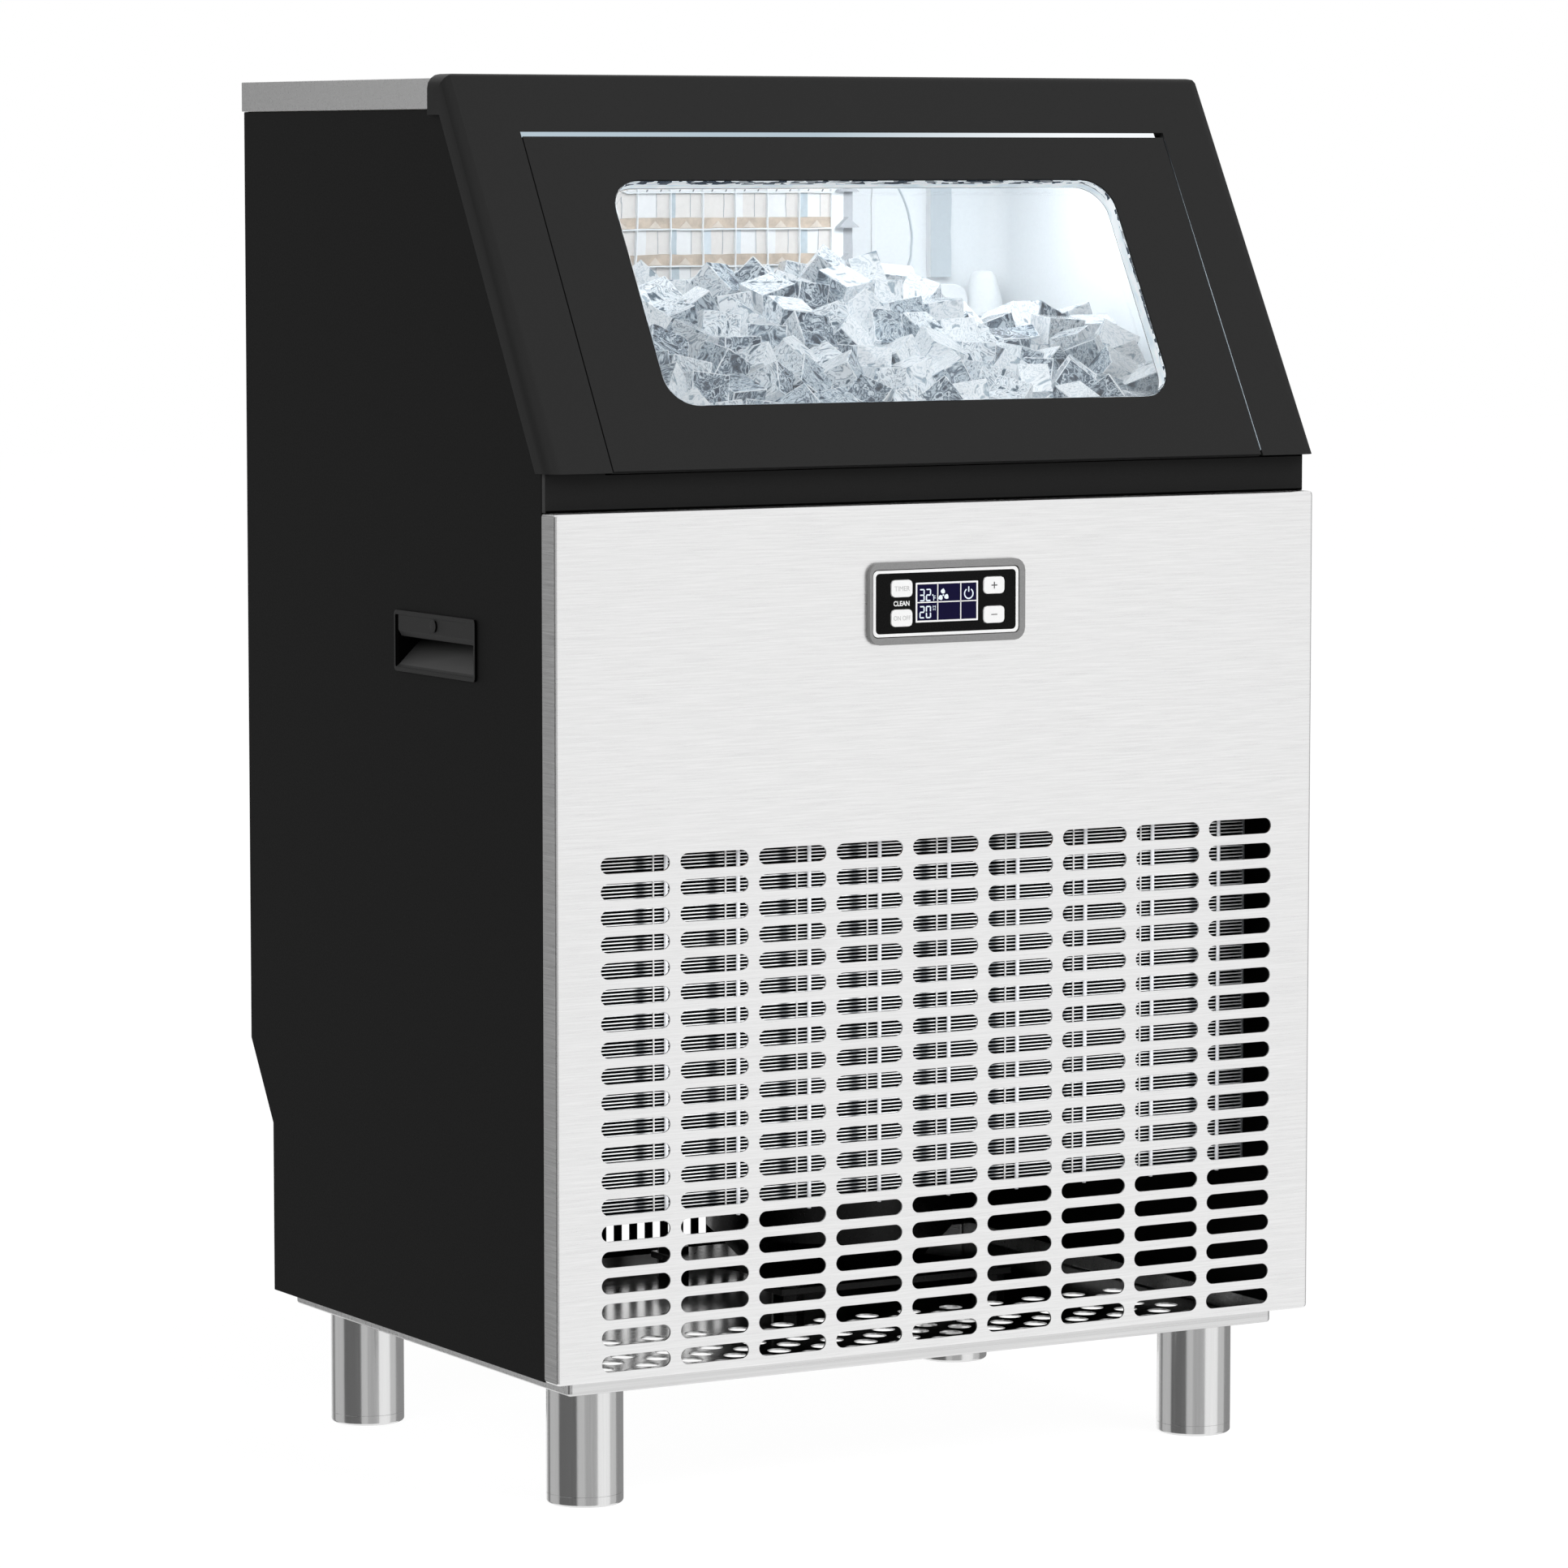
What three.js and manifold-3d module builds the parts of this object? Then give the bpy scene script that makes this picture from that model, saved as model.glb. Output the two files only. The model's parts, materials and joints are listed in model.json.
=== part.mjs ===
// Undercounter ice maker: steel cabinet on four legs, insulated bin with a slanted flap door,
// vertical evaporator over the bin, condenser and compressor below it.
// Millimetres, +Z up, front of the cabinet facing -Y, origin on the floor under the middle.

import * as THREE from "three";
import * as BufferGeometryUtils from "three/addons/utils/BufferGeometryUtils.js";
import Module from "manifold-3d";

const wasm = await Module();
wasm.setup();

// Clearances used all over
const touchGap = 0.3;
const cutOverrun = 20;
const panelSheet = 1.2;
const linerWall = 2.5;

// Cabinet, measured from the front face back and from the bottom of the front panel up
const cabinetWidth = 500;
const cabinetDepth = 390;
const frontPanelHeight = 481;
const frontPanelDepth = 15;
const neckHeight = 21.4;
const neckSetback = 11;
const neckDepth = 30;
const rearLowerSetback = 30.5;
const rearUpperSetback = 1;
const rearStepStart = 100.8;
const rearStepRise = 48.1;
const sideHoodInset = 8.2;
const sideBottomFlange = 15;
const topSkirt = 17.4;
const topOverhang = 1;
const topTongue = 13;
const topSideGap = 0.1;

// Legs and levelling feet
const legRadius = 21.9;
const legWall = 1.5;
const legSideInset = 45;
const legFrontDepth = 52.2;
const legRearInset = 64.4;
const legHeight = 61.7;
const footHeight = 6;
const footRadius = 20.6;
const footRounding = 2;
const footStemRadius = 6;
const footStemLength = 45;
const footNutHeight = 8;
const roundSteps = 18;
const smallCornerSteps = 2;
const cornerSteps = 4;

// Base pan with its staggered air holes
const panSideInset = 15.2;
const panRearReach = 2.1;
const panDrop = 9.7;
const panFlange = 12;
const panHoleRadius = 6.9;
const panHoleMargin = 24.55;
const panHoleRowPitch = 14.3;
const panHoleFirstDepth = 75.5;
const panHoleRowCount = 3;
const panHoleColumnCount = 15;
const panHoleSides = 6;

// Slotted grille of the front panel
const slotBridge = 6.89;
const slotHeight = 9;
const slotMargin = 28.04;
const slotPitchZ = 14.585;
const slotFirstCentre = 9.8;
const slotColumnCount = 9;
const slotRowCount = 20;
const slotEndSteps = 2;

// Air vents of the rear panel
const ventWidth = 5.6;
const ventPitch = 10.85;
const ventHeight = 84;
const ventStart = 6;
const ventCount = 25;

// Hood: the slanted plastic frame round the door
const hoodLeanDegrees = 30;
const hoodSlantLength = 252;
const hoodOverTop = 2.24;
const hoodFlare = 3;
const hoodFlangeDepth = 17;
const hoodWall = 3.4;
const hoodCapWall = 2;
const hoodCapDepth = 18.4;
const hoodLipDrop = 22.9;
const hoodEdgeRadius = 8;
const hoodTopRadius = 6;
const hoodEdgeSteps = 4;
const doorwaySideInset = 35.25;
const doorwayTopInset = 37;
const revealWall = 2.5;
const ledgeFront = 15.6;
const ledgeWall = 3;
const ledgeLow = 11;
const ledgeSide = 10.75;
const ledgeOpeningLow = 36;
const ledgeTop = 10;

// Door and its window
const doorSideGap = 1;
const doorLow = 1;
const doorTopGap = 3.5;
const doorPlate = 3;
const doorFlangeInset = 2.75;
const doorFlangeWall = 2.5;
const doorFlangeDepth = 10.5;
const doorFlangeLow = 12.5;
const doorFlangeTopInset = 2;
const doorCornerRadius = 3;
const windowSideInset = 47.25;
const windowLow = 40.2;
const windowTopInset = 27.6;
const windowRadius = 23;
const windowSteps = 6;
const paneRecess = 0.5;
const paneFlange = 7;
const paneFlangeThickness = 5;
const backFrameThickness = 1.9;
const backFrameOpening = 3;
const gasketWidth = 5;
const gasketThickness = 4.4;
const gasketTopInset = 2;
const hingeTopInset = 6;
const hingeDepth = 6;
const hingePinRadius = 2;
const hingePinClearance = 0.3;
const hingePinSides = 12;
const hingeHeadRadius = 2.5;
const hingeHeadLength = 2.5;
const hingePinReach = 5.5;

// Bin liner and its insulation
const binSideWall = 21;
const binFrontDepth = 38;
const binRearWall = 70;
const binFloorWall = 22;
const binTopWall = 28.4;
const binHeaderInset = 2.4;
const binMouthDepth = 19;
const binMouthLow = 32;
const binMouthTopInset = 7;
const deckHeight = 300;
const linerDiscRadius = 60;
const linerDiscRightSpace = 120;
const linerDiscDrop = 67;
const linerDiscRise = 2;

// Evaporator over the rear of the bin
const cellRise = 22.1;
const cellWall = 1.2;
const cellDepth = 20;
const cellColumnCount = 12;
const cellRowCount = 7;
const evaporatorLeftSpace = 57.6;
const evaporatorRightSpace = 134;
const evaporatorTopSpace = 14.8;
const evaporatorRearSpace = 50;
const evaporatorPlateThickness = 2;
const coilRadius = 4;
const coilSides = 6;
const coilRunCount = 4;
const distributorRadius = 6;
const distributorSides = 12;
const distributorOverhang = 6;

// Water trough, pump and riser
const troughHeight = 28;
const troughWall = 2;
const troughFrontInset = 6;
const pumpRightSpace = 58.5;
const pumpWidth = 28;
const pumpDrop = 78.2;
const pumpRearSpace = 24;
const pumpRadius = 9;
const riserInset = 6.5;
const riserWidth = 15;
const riserDepth = 14;
const floatRightSpace = 16;
const floatDrop = 69.2;
const floatTopRadius = 5;
const floatBaseRadius = 13;
const floatTaper = 22;
const floatRearSpace = 16.5;

// Ice in the bin
const iceGap = 1;
const cubeSize = 24;
const iceBackRise = 85.6;
const iceFrontRise = 37.6;
const iceBedDrop = 12;
const iceFrontShare = 0.96;
const icePitchShare = 1.9;
const iceShiftShare = 0.04;
const iceLiftShare = 0.12;
const iceSinkShare = 0.4;
const iceRowTurnShare = 5;
const iceColumnTurnShare = 3;
const iceTurnShares = [0.7, 1.1, 0.4];
const iceWaveShares = [1.3, 2.1, 1.9];

// Machine bay
const condenserSideInset = 28;
const condenserFrontDepth = 27;
const condenserDepth = 34;
const condenserLow = 83;
const condenserTopGap = 8;
const condenserFin = 0.8;
const condenserFinCount = 24;
const condenserEndPlate = 1.5;
const condenserTubeWidth = 4;
const condenserTubeRightSpace = 19.4;
const condenserTubeCount = 9;
const condenserTubeLeftSpace = 55;
const condenserTubeDepth = 3;
const condenserTubeLow = 81.8;
const condenserHeader = 8;
const shroudThickness = 2;
const shroudDepth = 34;
const shroudHalfWidth = 100;
const fanX = -60;
const fanRise = 2.5;
const fanOpeningInset = 14;
const fanTipGap = 4;
const fanHubRadius = 24;
const fanHubDepth = 18;
const fanBladeCount = 5;
const fanBladeTwistDegrees = 28;
const fanBladeThickness = 2.4;
const fanSetback = 16;
const fanShaftRadius = 4;
const bladeShares = [[0.24, -0.1], [0.95, -0.29], [1, 0], [0.9, 0.24], [0.24, 0.1]];
const motorRadius = 36;
const motorLength = 46;
const motorArmWidth = 14;
const motorArmThickness = 3;
const compressorX = 71;
const compressorRearSpace = 109.5;
const compressorRadius = 75;
const compressorHeight = 170;
const compressorDomeRise = 42;
const compressorBottomShare = 0.72;
const compressorDomeSteps = 5;
const compressorFootSpan = 160;
const footNotchShare = 0.62;
const footNotchPlaceShare = 1.35;
const compressorFootThickness = 4;
const grommetRadius = 10;
const grommetHeight = 12;
const drierRadius = 14;
const drierLength = 100;
const drierSideInset = 85;
const drierDepth = 130;
const drierClip = 3;
const drierLiftShare = 0.25;
const controlBoxWidth = 56;
const controlBoxDepth = 150;
const controlBoxHeight = 120;
const controlBoxSideInset = 14;
const controlBoxFront = 130;
const controlBoxRadius = 4;
const refrigerantTubeRadius = 4;
const refrigerantTubeSides = 8;
const refrigerantTubeBend = 18;
const dischargeDrop = 45;

// Fittings in the recess under the rear step
const fittingHeight = 60;
const valveSideInset = 50;
const valveRadius = 11;
const valveLength = 24;
const drainSideInset = 90;
const drainRadius = 12;
const drainBore = 8;
const drainLength = 26;
const glandSideInset = 60;
const glandRadius = 12;
const glandBore = 4.5;
const glandLength = 16;
const fittingFlange = 5;
const fittingFlangeThickness = 3;

// Side handles
const handleFrontDepth = 92.3;
const handleLength = 100;
const handleLow = 382.9;
const handleHeight = 35;
const handleProud = 1.5;
const handleRim = 4;
const handleTub = 17;
const handleWall = 1.5;
const handleGripShare = 0.38;
const handleCornerRadius = 7;
const handleBossRadius = 3.7;

// Control panel
const displayDrop = 55.8;
const bezelWidth = 104.8;
const bezelHeight = 46.3;
const bezelRing = 4;
const bezelProud = 3;
const bezelRadius = 7;
const displayPlate = 1.5;
const displayRecess = 0.8;
const screenLeft = -20.3;
const screenWidth = 41.5;
const screenHeight = 22.6;
const screenThickness = 1.8;
const buttonWidth = 13.7;
const buttonHeight = 9.6;
const buttonLeftX = -29.35;
const buttonRightX = 31.5;
const buttonSpacing = 16.6;
const buttonRadius = 2.2;
const buttonProud = 0.7;
const buttonTravel = 0.8;
const buttonGap = 0.35;
const buttonFlange = 1.1;
const buttonFlangeThickness = 0.8;
const boardThickness = 1.6;
const boardGap = 1.2;
const displayHousingDepth = 14;
const displayHousingWall = 1.4;

// Places that follow from the sizes above
const lean = THREE.MathUtils.degToRad(hoodLeanDegrees);
const halfWidth = cabinetWidth / 2;
const frontY = bezelProud - (cabinetDepth + bezelProud) / 2;
const caseZ = footHeight + legHeight + panDrop;
const hoodLow = frontPanelHeight + neckHeight;
const hoodHigh = hoodLow + hoodSlantLength * Math.cos(lean);
const hoodLipDepth = hoodSlantLength * Math.sin(lean) + hoodCapDepth;
const topHeight = hoodHigh - hoodOverTop;
const sideTopHeight = topHeight - topSkirt - topSideGap;
const rearUpperDepth = cabinetDepth - rearUpperSetback;
const rearLowerDepth = cabinetDepth - rearLowerSetback;
const innerHalfWidth = halfWidth - panelSheet - touchGap;
const foamRearDepth = rearUpperDepth - panelSheet - touchGap;
const foamTopHeight = topHeight - panelSheet - touchGap;

const legSpacingX = cabinetWidth - 2 * legSideInset;
const legSpacingY = cabinetDepth - legFrontDepth - legRearInset;
const panWidth = cabinetWidth - 2 * panSideInset;
const panRearDepth = rearLowerDepth + panRearReach;
const panHolePitch = (panWidth - 2 * panHoleMargin) / (panHoleColumnCount - 0.5);
const slotPitchX = (cabinetWidth - 2 * slotMargin + slotBridge) / slotColumnCount;
const slotLength = slotPitchX - slotBridge;

const doorwayHalfWidth = halfWidth - doorwaySideInset;
const doorwayTop = hoodSlantLength - doorwayTopInset;
const ledgeOpeningHalfWidth = doorwayHalfWidth - ledgeSide;
const ledgeOpeningHigh = doorwayTop - ledgeTop;
const doorHalfWidth = doorwayHalfWidth - doorSideGap;
const doorHigh = doorwayTop - doorTopGap;
const doorFlangeHigh = doorHigh - doorFlangeTopInset;
const windowHalfWidth = doorHalfWidth - windowSideInset;
const windowHigh = doorHigh - windowTopInset;
const hingeSlope = doorHigh - hingeTopInset;

const binHalfWidth = halfWidth - binSideWall;
const binRearDepth = cabinetDepth - binRearWall;
const binFloor = deckHeight + binFloorWall;
const binCeiling = topHeight - binTopWall;
const binHeaderDepth = hoodLipDepth - binHeaderInset;
const binMouthHigh = doorwayTop - binMouthTopInset;
const linerDiscX = binHalfWidth - linerDiscRightSpace;
const linerDiscHeight = binCeiling - linerDiscDrop;

const evaporatorRight = binHalfWidth - evaporatorRightSpace;
const evaporatorTop = binCeiling - evaporatorTopSpace;
const evaporatorFrontDepth = binRearDepth - evaporatorRearSpace;
const gridWidth = 2 * binHalfWidth - evaporatorLeftSpace - evaporatorRightSpace;
const cellPitch = (gridWidth - cellWall) / cellColumnCount;
const pumpLeftX = binHalfWidth - pumpRightSpace;
const pumpTopHeight = evaporatorTop - pumpDrop;
const pumpFrontDepth = binRearDepth - pumpRearSpace;
const riserLeftX = pumpLeftX + riserInset;
const floatX = binHalfWidth - floatRightSpace;
const floatTopHeight = evaporatorTop - floatDrop;
const floatCentreDepth = binRearDepth - floatRearSpace;
const iceBackHeight = hoodLow + iceBackRise;
const iceFrontHeight = hoodLow + iceFrontRise;
const iceFrontDepth = binFrontDepth + iceGap;
const iceRearDepth = evaporatorFrontDepth - troughFrontInset - iceGap;
const iceHalfWidth = binHalfWidth - iceGap;
const icePitch = cubeSize * icePitchShare;
const iceSpanX = 2 * (iceHalfWidth - cubeSize);
const iceSpanY = iceRearDepth - iceFrontDepth - 2 * cubeSize;
const iceColumnCount = Math.floor(iceSpanX / icePitch);
const iceRowCount = Math.floor(iceSpanY / icePitch);

const condenserHigh = deckHeight - condenserTopGap;
const condenserRight = halfWidth - condenserSideInset;
const condenserLeft = -condenserRight;
const condenserTubeFirst = condenserLeft + condenserTubeLeftSpace;
const condenserTubeSpan = condenserRight - condenserTubeFirst - condenserTubeRightSpace;
const condenserTubePitch = condenserTubeSpan / (condenserTubeCount - 1);
const fanHeight = (condenserLow + condenserHigh) / 2 + fanRise;
const fanOpeningRadius = Math.min(shroudHalfWidth, condenserHigh - fanHeight) - fanOpeningInset;
const fanRadius = fanOpeningRadius - fanTipGap;
const compressorCentreDepth = rearLowerDepth - compressorRearSpace;
const drierX = halfWidth - drierSideInset;
const controlBoxLeft = controlBoxSideInset - halfWidth;
const valveX = halfWidth - valveSideInset;
const drainX = halfWidth - drainSideInset;
const glandX = glandSideInset - halfWidth;
const displayCentre = frontPanelHeight - displayDrop;

const back = (distance) => frontY + distance;
const up = (height) => caseZ + height;
const slopeDepth = (height, inset) =>
  (height - hoodLow) * Math.tan(lean) + inset / Math.cos(lean);

// Solids from three.js geometry, and meshes back from solids
function solidOf(geometry) {
  const plain = geometry.clone();
  plain.deleteAttribute("normal");
  plain.deleteAttribute("uv");
  const merged = BufferGeometryUtils.mergeVertices(plain);
  return new wasm.Manifold(new wasm.Mesh({
    numProp: 3,
    vertProperties: merged.attributes.position.array,
    triVerts: merged.index.array,
  }));
}

function geometryOf(solid) {
  const data = solid.getMesh();
  const geometry = new THREE.BufferGeometry();
  geometry.setAttribute("position", new THREE.BufferAttribute(data.vertProperties, 3));
  geometry.setIndex(new THREE.BufferAttribute(data.triVerts, 1));
  geometry.computeVertexNormals();
  return geometry;
}

const joined = (...parts) => parts.reduce((sum, part) => sum.add(part));
const cut = (body, ...tools) => tools.reduce((rest, tool) => rest.subtract(tool), body);

function finish(color, roughness, metalness) {
  return new THREE.MeshStandardMaterial({ color, roughness, metalness });
}

const looks = {
  brushedSteel: finish(0xd9dadb, 0.35, 1),
  satinSteel: finish(0xb4b6b8, 0.3, 1),
  blackSheet: finish(0x1f1f1f, 0.6, 0.2),
  blackPlastic: finish(0x2e2e2e, 0.5, 0),
  whitePlastic: finish(0xf2f3f4, 0.45, 0),
  foam: finish(0xd8cfa8, 0.9, 0),
  galvanised: finish(0x9a9d9f, 0.4, 0.9),
  clearAcrylic: finish(0xdfeaf2, 0.05, 0),
  ice: finish(0xcfdbe6, 0.08, 0),
  copper: finish(0xb87333, 0.35, 1),
  aluminium: finish(0xc4c7ca, 0.4, 0.9),
  rubber: finish(0x1a1a1a, 0.9, 0),
  compressorPaint: finish(0x161617, 0.35, 0.3),
  greyPlastic: finish(0x8f9396, 0.5, 0),
  displayBlack: finish(0x0c0d0f, 0.2, 0),
  displayBlue: finish(0x1d2a44, 0.15, 0),
  board: finish(0x1f5c3a, 0.6, 0),
};

function named(name, shape, material) {
  const geometry = shape.isBufferGeometry ? shape : geometryOf(shape);
  const mesh = new THREE.Mesh(geometry, material);
  mesh.name = name;
  return mesh;
}

// Basic forms in world axes
function block(x0, x1, y0, y1, z0, z1) {
  const geometry = new THREE.BoxGeometry(x1 - x0, y1 - y0, z1 - z0);
  geometry.translate((x0 + x1) / 2, (y0 + y1) / 2, (z0 + z1) / 2);
  return solidOf(geometry);
}

const pointList = (pairs) => pairs.map(([a, b]) => new THREE.Vector2(a, b));

function prism(points, height, holes = []) {
  const shape = new THREE.Shape(pointList(points));
  shape.holes = holes.map((hole) => new THREE.Path(pointList(hole)));
  return new THREE.ExtrudeGeometry(shape, { depth: height, bevelEnabled: false, curveSegments: 1 });
}

const axisX = new THREE.Vector3(1, 0, 0);
const axisY = new THREE.Vector3(0, 1, 0);
const axisZ = new THREE.Vector3(0, 0, 1);

// Outline in Y and Z, drawn out along X
function alongX(points, x0, x1, holes = []) {
  const geometry = prism(points, x1 - x0, holes);
  geometry.applyMatrix4(new THREE.Matrix4().makeBasis(axisY, axisZ, axisX));
  geometry.translate(x0, 0, 0);
  return solidOf(geometry);
}

// Outline in X and Z, drawn out along Y
function alongY(points, y0, y1, holes = []) {
  const geometry = prism(points, y1 - y0, holes);
  geometry.applyMatrix4(new THREE.Matrix4().makeBasis(axisX, axisZ, axisY.clone().negate()));
  geometry.translate(0, y1, 0);
  return solidOf(geometry);
}

// Outline in X and Y, drawn out along Z
function alongZ(points, z0, z1, holes = []) {
  const geometry = prism(points, z1 - z0, holes);
  geometry.translate(0, 0, z0);
  return solidOf(geometry);
}

// Plate with openings, each cut by a prism of its own
function pierced(draw, outline, low, high, openings) {
  const tools = openings.map((opening) => draw(opening, low - cutOverrun, high + cutOverrun));
  return cut(draw(outline, low, high), joined(...tools));
}

const rectangle = (a0, a1, b0, b1) => [[a0, b0], [a1, b0], [a1, b1], [a0, b1]];

// Corner arc of an outline: from a start angle through a quarter turn
function quarterArc(centreA, centreB, radius, startDegrees, steps) {
  const arc = new THREE.EllipseCurve(
    centreA, centreB, radius, radius,
    THREE.MathUtils.degToRad(startDegrees), THREE.MathUtils.degToRad(startDegrees + 90),
  );
  return arc.getPoints(steps).map((point) => [point.x, point.y]);
}

function roundedRectangle(a0, a1, b0, b1, radius, steps) {
  return [
    ...quarterArc(a1 - radius, b0 + radius, radius, 270, steps),
    ...quarterArc(a1 - radius, b1 - radius, radius, 0, steps),
    ...quarterArc(a0 + radius, b1 - radius, radius, 90, steps),
    ...quarterArc(a0 + radius, b0 + radius, radius, 180, steps),
  ];
}

function circle(centreA, centreB, radius, sides) {
  return Array.from({ length: sides }, (unused, index) => {
    const angle = (index + 0.5) / sides * 2 * Math.PI;
    return [centreA + radius * Math.cos(angle), centreB + radius * Math.sin(angle)];
  });
}

// Slot with half-round ends, its middle at the origin of the outline
function slotOutline(centreA, centreB, length, height, steps) {
  const radius = height / 2;
  const reach = length / 2 - radius;
  const right = new THREE.EllipseCurve(
    centreA + reach, centreB, radius, radius, -Math.PI / 2, Math.PI / 2);
  const left = new THREE.EllipseCurve(
    centreA - reach, centreB, radius, radius, Math.PI / 2, 3 * Math.PI / 2);
  return [...right.getPoints(steps), ...left.getPoints(steps)].map((point) => [point.x, point.y]);
}

// Turned solid about the Z axis from an outline of radius and height
function turned(points, sides) {
  return new THREE.LatheGeometry(pointList(points), sides);
}

// Turned geometry laid along another axis: its Y becomes the given direction
function turnedAlong(points, sides, direction, x, y, z) {
  const geometry = turned(points, sides);
  const turn = new THREE.Quaternion().setFromUnitVectors(axisY, direction);
  geometry.applyQuaternion(turn);
  geometry.translate(x, y, z);
  return solidOf(geometry);
}

const disc = (radius, low, high) => [[0, low], [radius, low], [radius, high], [0, high]];
const ring = (inner, outer, low, high) =>
  [[inner, low], [outer, low], [outer, high], [inner, high], [inner, low]];

// Round bar that follows straight runs with rounded bends
function bentBar(corners, radius, bend, sides, bendSteps) {
  const path = new THREE.CurvePath();
  let start = corners[0];
  for (let index = 1; index < corners.length - 1; index += 1) {
    const corner = corners[index];
    const towards = corner.clone().sub(corners[index - 1]).normalize();
    const away = corners[index + 1].clone().sub(corner).normalize();
    const enter = corner.clone().addScaledVector(towards, -bend);
    const leave = corner.clone().addScaledVector(away, bend);
    path.add(new THREE.LineCurve3(start, enter));
    path.add(new THREE.QuadraticBezierCurve3(enter, corner, leave));
    start = leave;
  }
  path.add(new THREE.LineCurve3(start, corners[corners.length - 1]));
  const section = new THREE.Shape(pointList(circle(0, 0, radius, sides)));
  const steps = (corners.length - 1) * 2 + (corners.length - 2) * bendSteps;
  return new THREE.ExtrudeGeometry(section, { extrudePath: path, steps, bevelEnabled: false });
}

// The slope's own axes: X across, Y up the slope, Z out of it
const slopeMatrix = new THREE.Matrix4()
  .makeTranslation(0, frontY, up(hoodLow))
  .multiply(new THREE.Matrix4().makeRotationX(Math.PI / 2 - lean));

function onSlope(points, inner, outer, holes = []) {
  const geometry = prism(points, outer - inner, holes);
  geometry.translate(0, 0, inner);
  return geometry;
}

function slopeSolid(points, inner, outer, holes = []) {
  return solidOf(onSlope(points, inner, outer, holes).applyMatrix4(slopeMatrix));
}

// Front panel: a steel tray with the slotted grille and the opening of the control panel
function slotOutlines() {
  const outlines = [];
  const firstX = -slotPitchX * (slotColumnCount - 1) / 2;
  for (let row = 0; row < slotRowCount; row += 1) {
    for (let column = 0; column < slotColumnCount; column += 1) {
      const x = firstX + column * slotPitchX;
      const z = up(slotFirstCentre + row * slotPitchZ);
      outlines.push(slotOutline(x, z, slotLength, slotHeight, slotEndSteps));
    }
  }
  return outlines;
}

const housingHalfWidth = bezelWidth / 2 - bezelRing;
const housingHalfHeight = bezelHeight / 2 - bezelRing;

function frontPanel() {
  const opening = rectangle(
    -housingHalfWidth - touchGap, housingHalfWidth + touchGap,
    up(displayCentre) - housingHalfHeight - touchGap,
    up(displayCentre) + housingHalfHeight + touchGap);
  const outline = rectangle(-halfWidth, halfWidth, up(0), up(frontPanelHeight));
  const inner = rectangle(
    -halfWidth + panelSheet, halfWidth - panelSheet,
    up(panelSheet), up(frontPanelHeight - panelSheet));
  const face = pierced(alongY, outline, frontY, back(panelSheet), [...slotOutlines(), opening]);
  const rim = alongY(outline, back(panelSheet), back(frontPanelDepth), [inner]);
  return joined(face, rim);
}

// Neck: the black band between the front panel and the hood
function neckPanel() {
  const z0 = up(frontPanelHeight);
  const z1 = up(hoodLow);
  const face = block(-halfWidth, halfWidth, back(neckSetback), back(frontPanelDepth), z0, z1);
  const shelf = block(
    -innerHalfWidth, innerHalfWidth, back(frontPanelDepth), back(neckDepth), z0, z1);
  const hollow = block(
    -innerHalfWidth + panelSheet, innerHalfWidth - panelSheet,
    back(neckSetback + panelSheet), back(neckDepth + cutOverrun),
    z0 + panelSheet, z1 - panelSheet);
  return cut(joined(face, shelf), hollow);
}

// Side panel: sheet with folded edges, stepped at the rear and slanted under the hood
function sideOutline(inset) {
  const front = frontPanelDepth + touchGap + inset;
  const slantStart = hoodLow + (front - (sideHoodInset + inset) / Math.cos(lean)) / Math.tan(lean);
  return [
    [back(front), up(inset)],
    [back(rearLowerDepth - inset), up(inset)],
    [back(rearLowerDepth - inset), up(rearStepStart)],
    [back(rearUpperDepth - inset), up(rearStepStart + rearStepRise)],
    [back(rearUpperDepth - inset), up(sideTopHeight - inset)],
    [back(slopeDepth(sideTopHeight - inset, sideHoodInset + inset)), up(sideTopHeight - inset)],
    [back(front), up(slantStart)],
  ];
}

function handleOpening(side) {
  const clear = handleRim - touchGap;
  const x = [side * halfWidth - cutOverrun, side * halfWidth + cutOverrun];
  return block(
    x[0], x[1], back(handleFrontDepth + clear), back(handleFrontDepth + handleLength - clear),
    up(handleLow + clear), up(handleLow + handleHeight - clear));
}

function sidePanel(side) {
  const outer = side * halfWidth;
  const inner = side * (halfWidth - panelSheet);
  const web = alongX(sideOutline(0), Math.min(outer, inner), Math.max(outer, inner));
  const flangeEdge = side * (halfWidth - sideBottomFlange);
  const flange = block(
    Math.min(inner, flangeEdge), Math.max(inner, flangeEdge),
    back(frontPanelDepth + touchGap), back(rearLowerDepth - panelSheet - touchGap),
    up(0), up(panelSheet));
  return cut(joined(web, flange), handleOpening(side));
}

// Rear panel: one folded sheet of three planes, its lower plane slotted for the air
function ventOutlines() {
  const outlines = [];
  const firstX = -ventPitch * (ventCount - 1) / 2;
  for (let index = 0; index < ventCount; index += 1) {
    const x = firstX + index * ventPitch;
    outlines.push(rectangle(
      x - ventWidth / 2, x + ventWidth / 2, up(ventStart), up(ventStart + ventHeight)));
  }
  return outlines;
}

function rearFittingHoles() {
  const sides = roundSteps / 2;
  return [[valveX, valveRadius], [drainX, drainRadius], [glandX, glandRadius]].map(
    ([x, radius]) => circle(
      x, up(fittingHeight), (radius + touchGap) / Math.cos(Math.PI / sides), sides));
}

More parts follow.
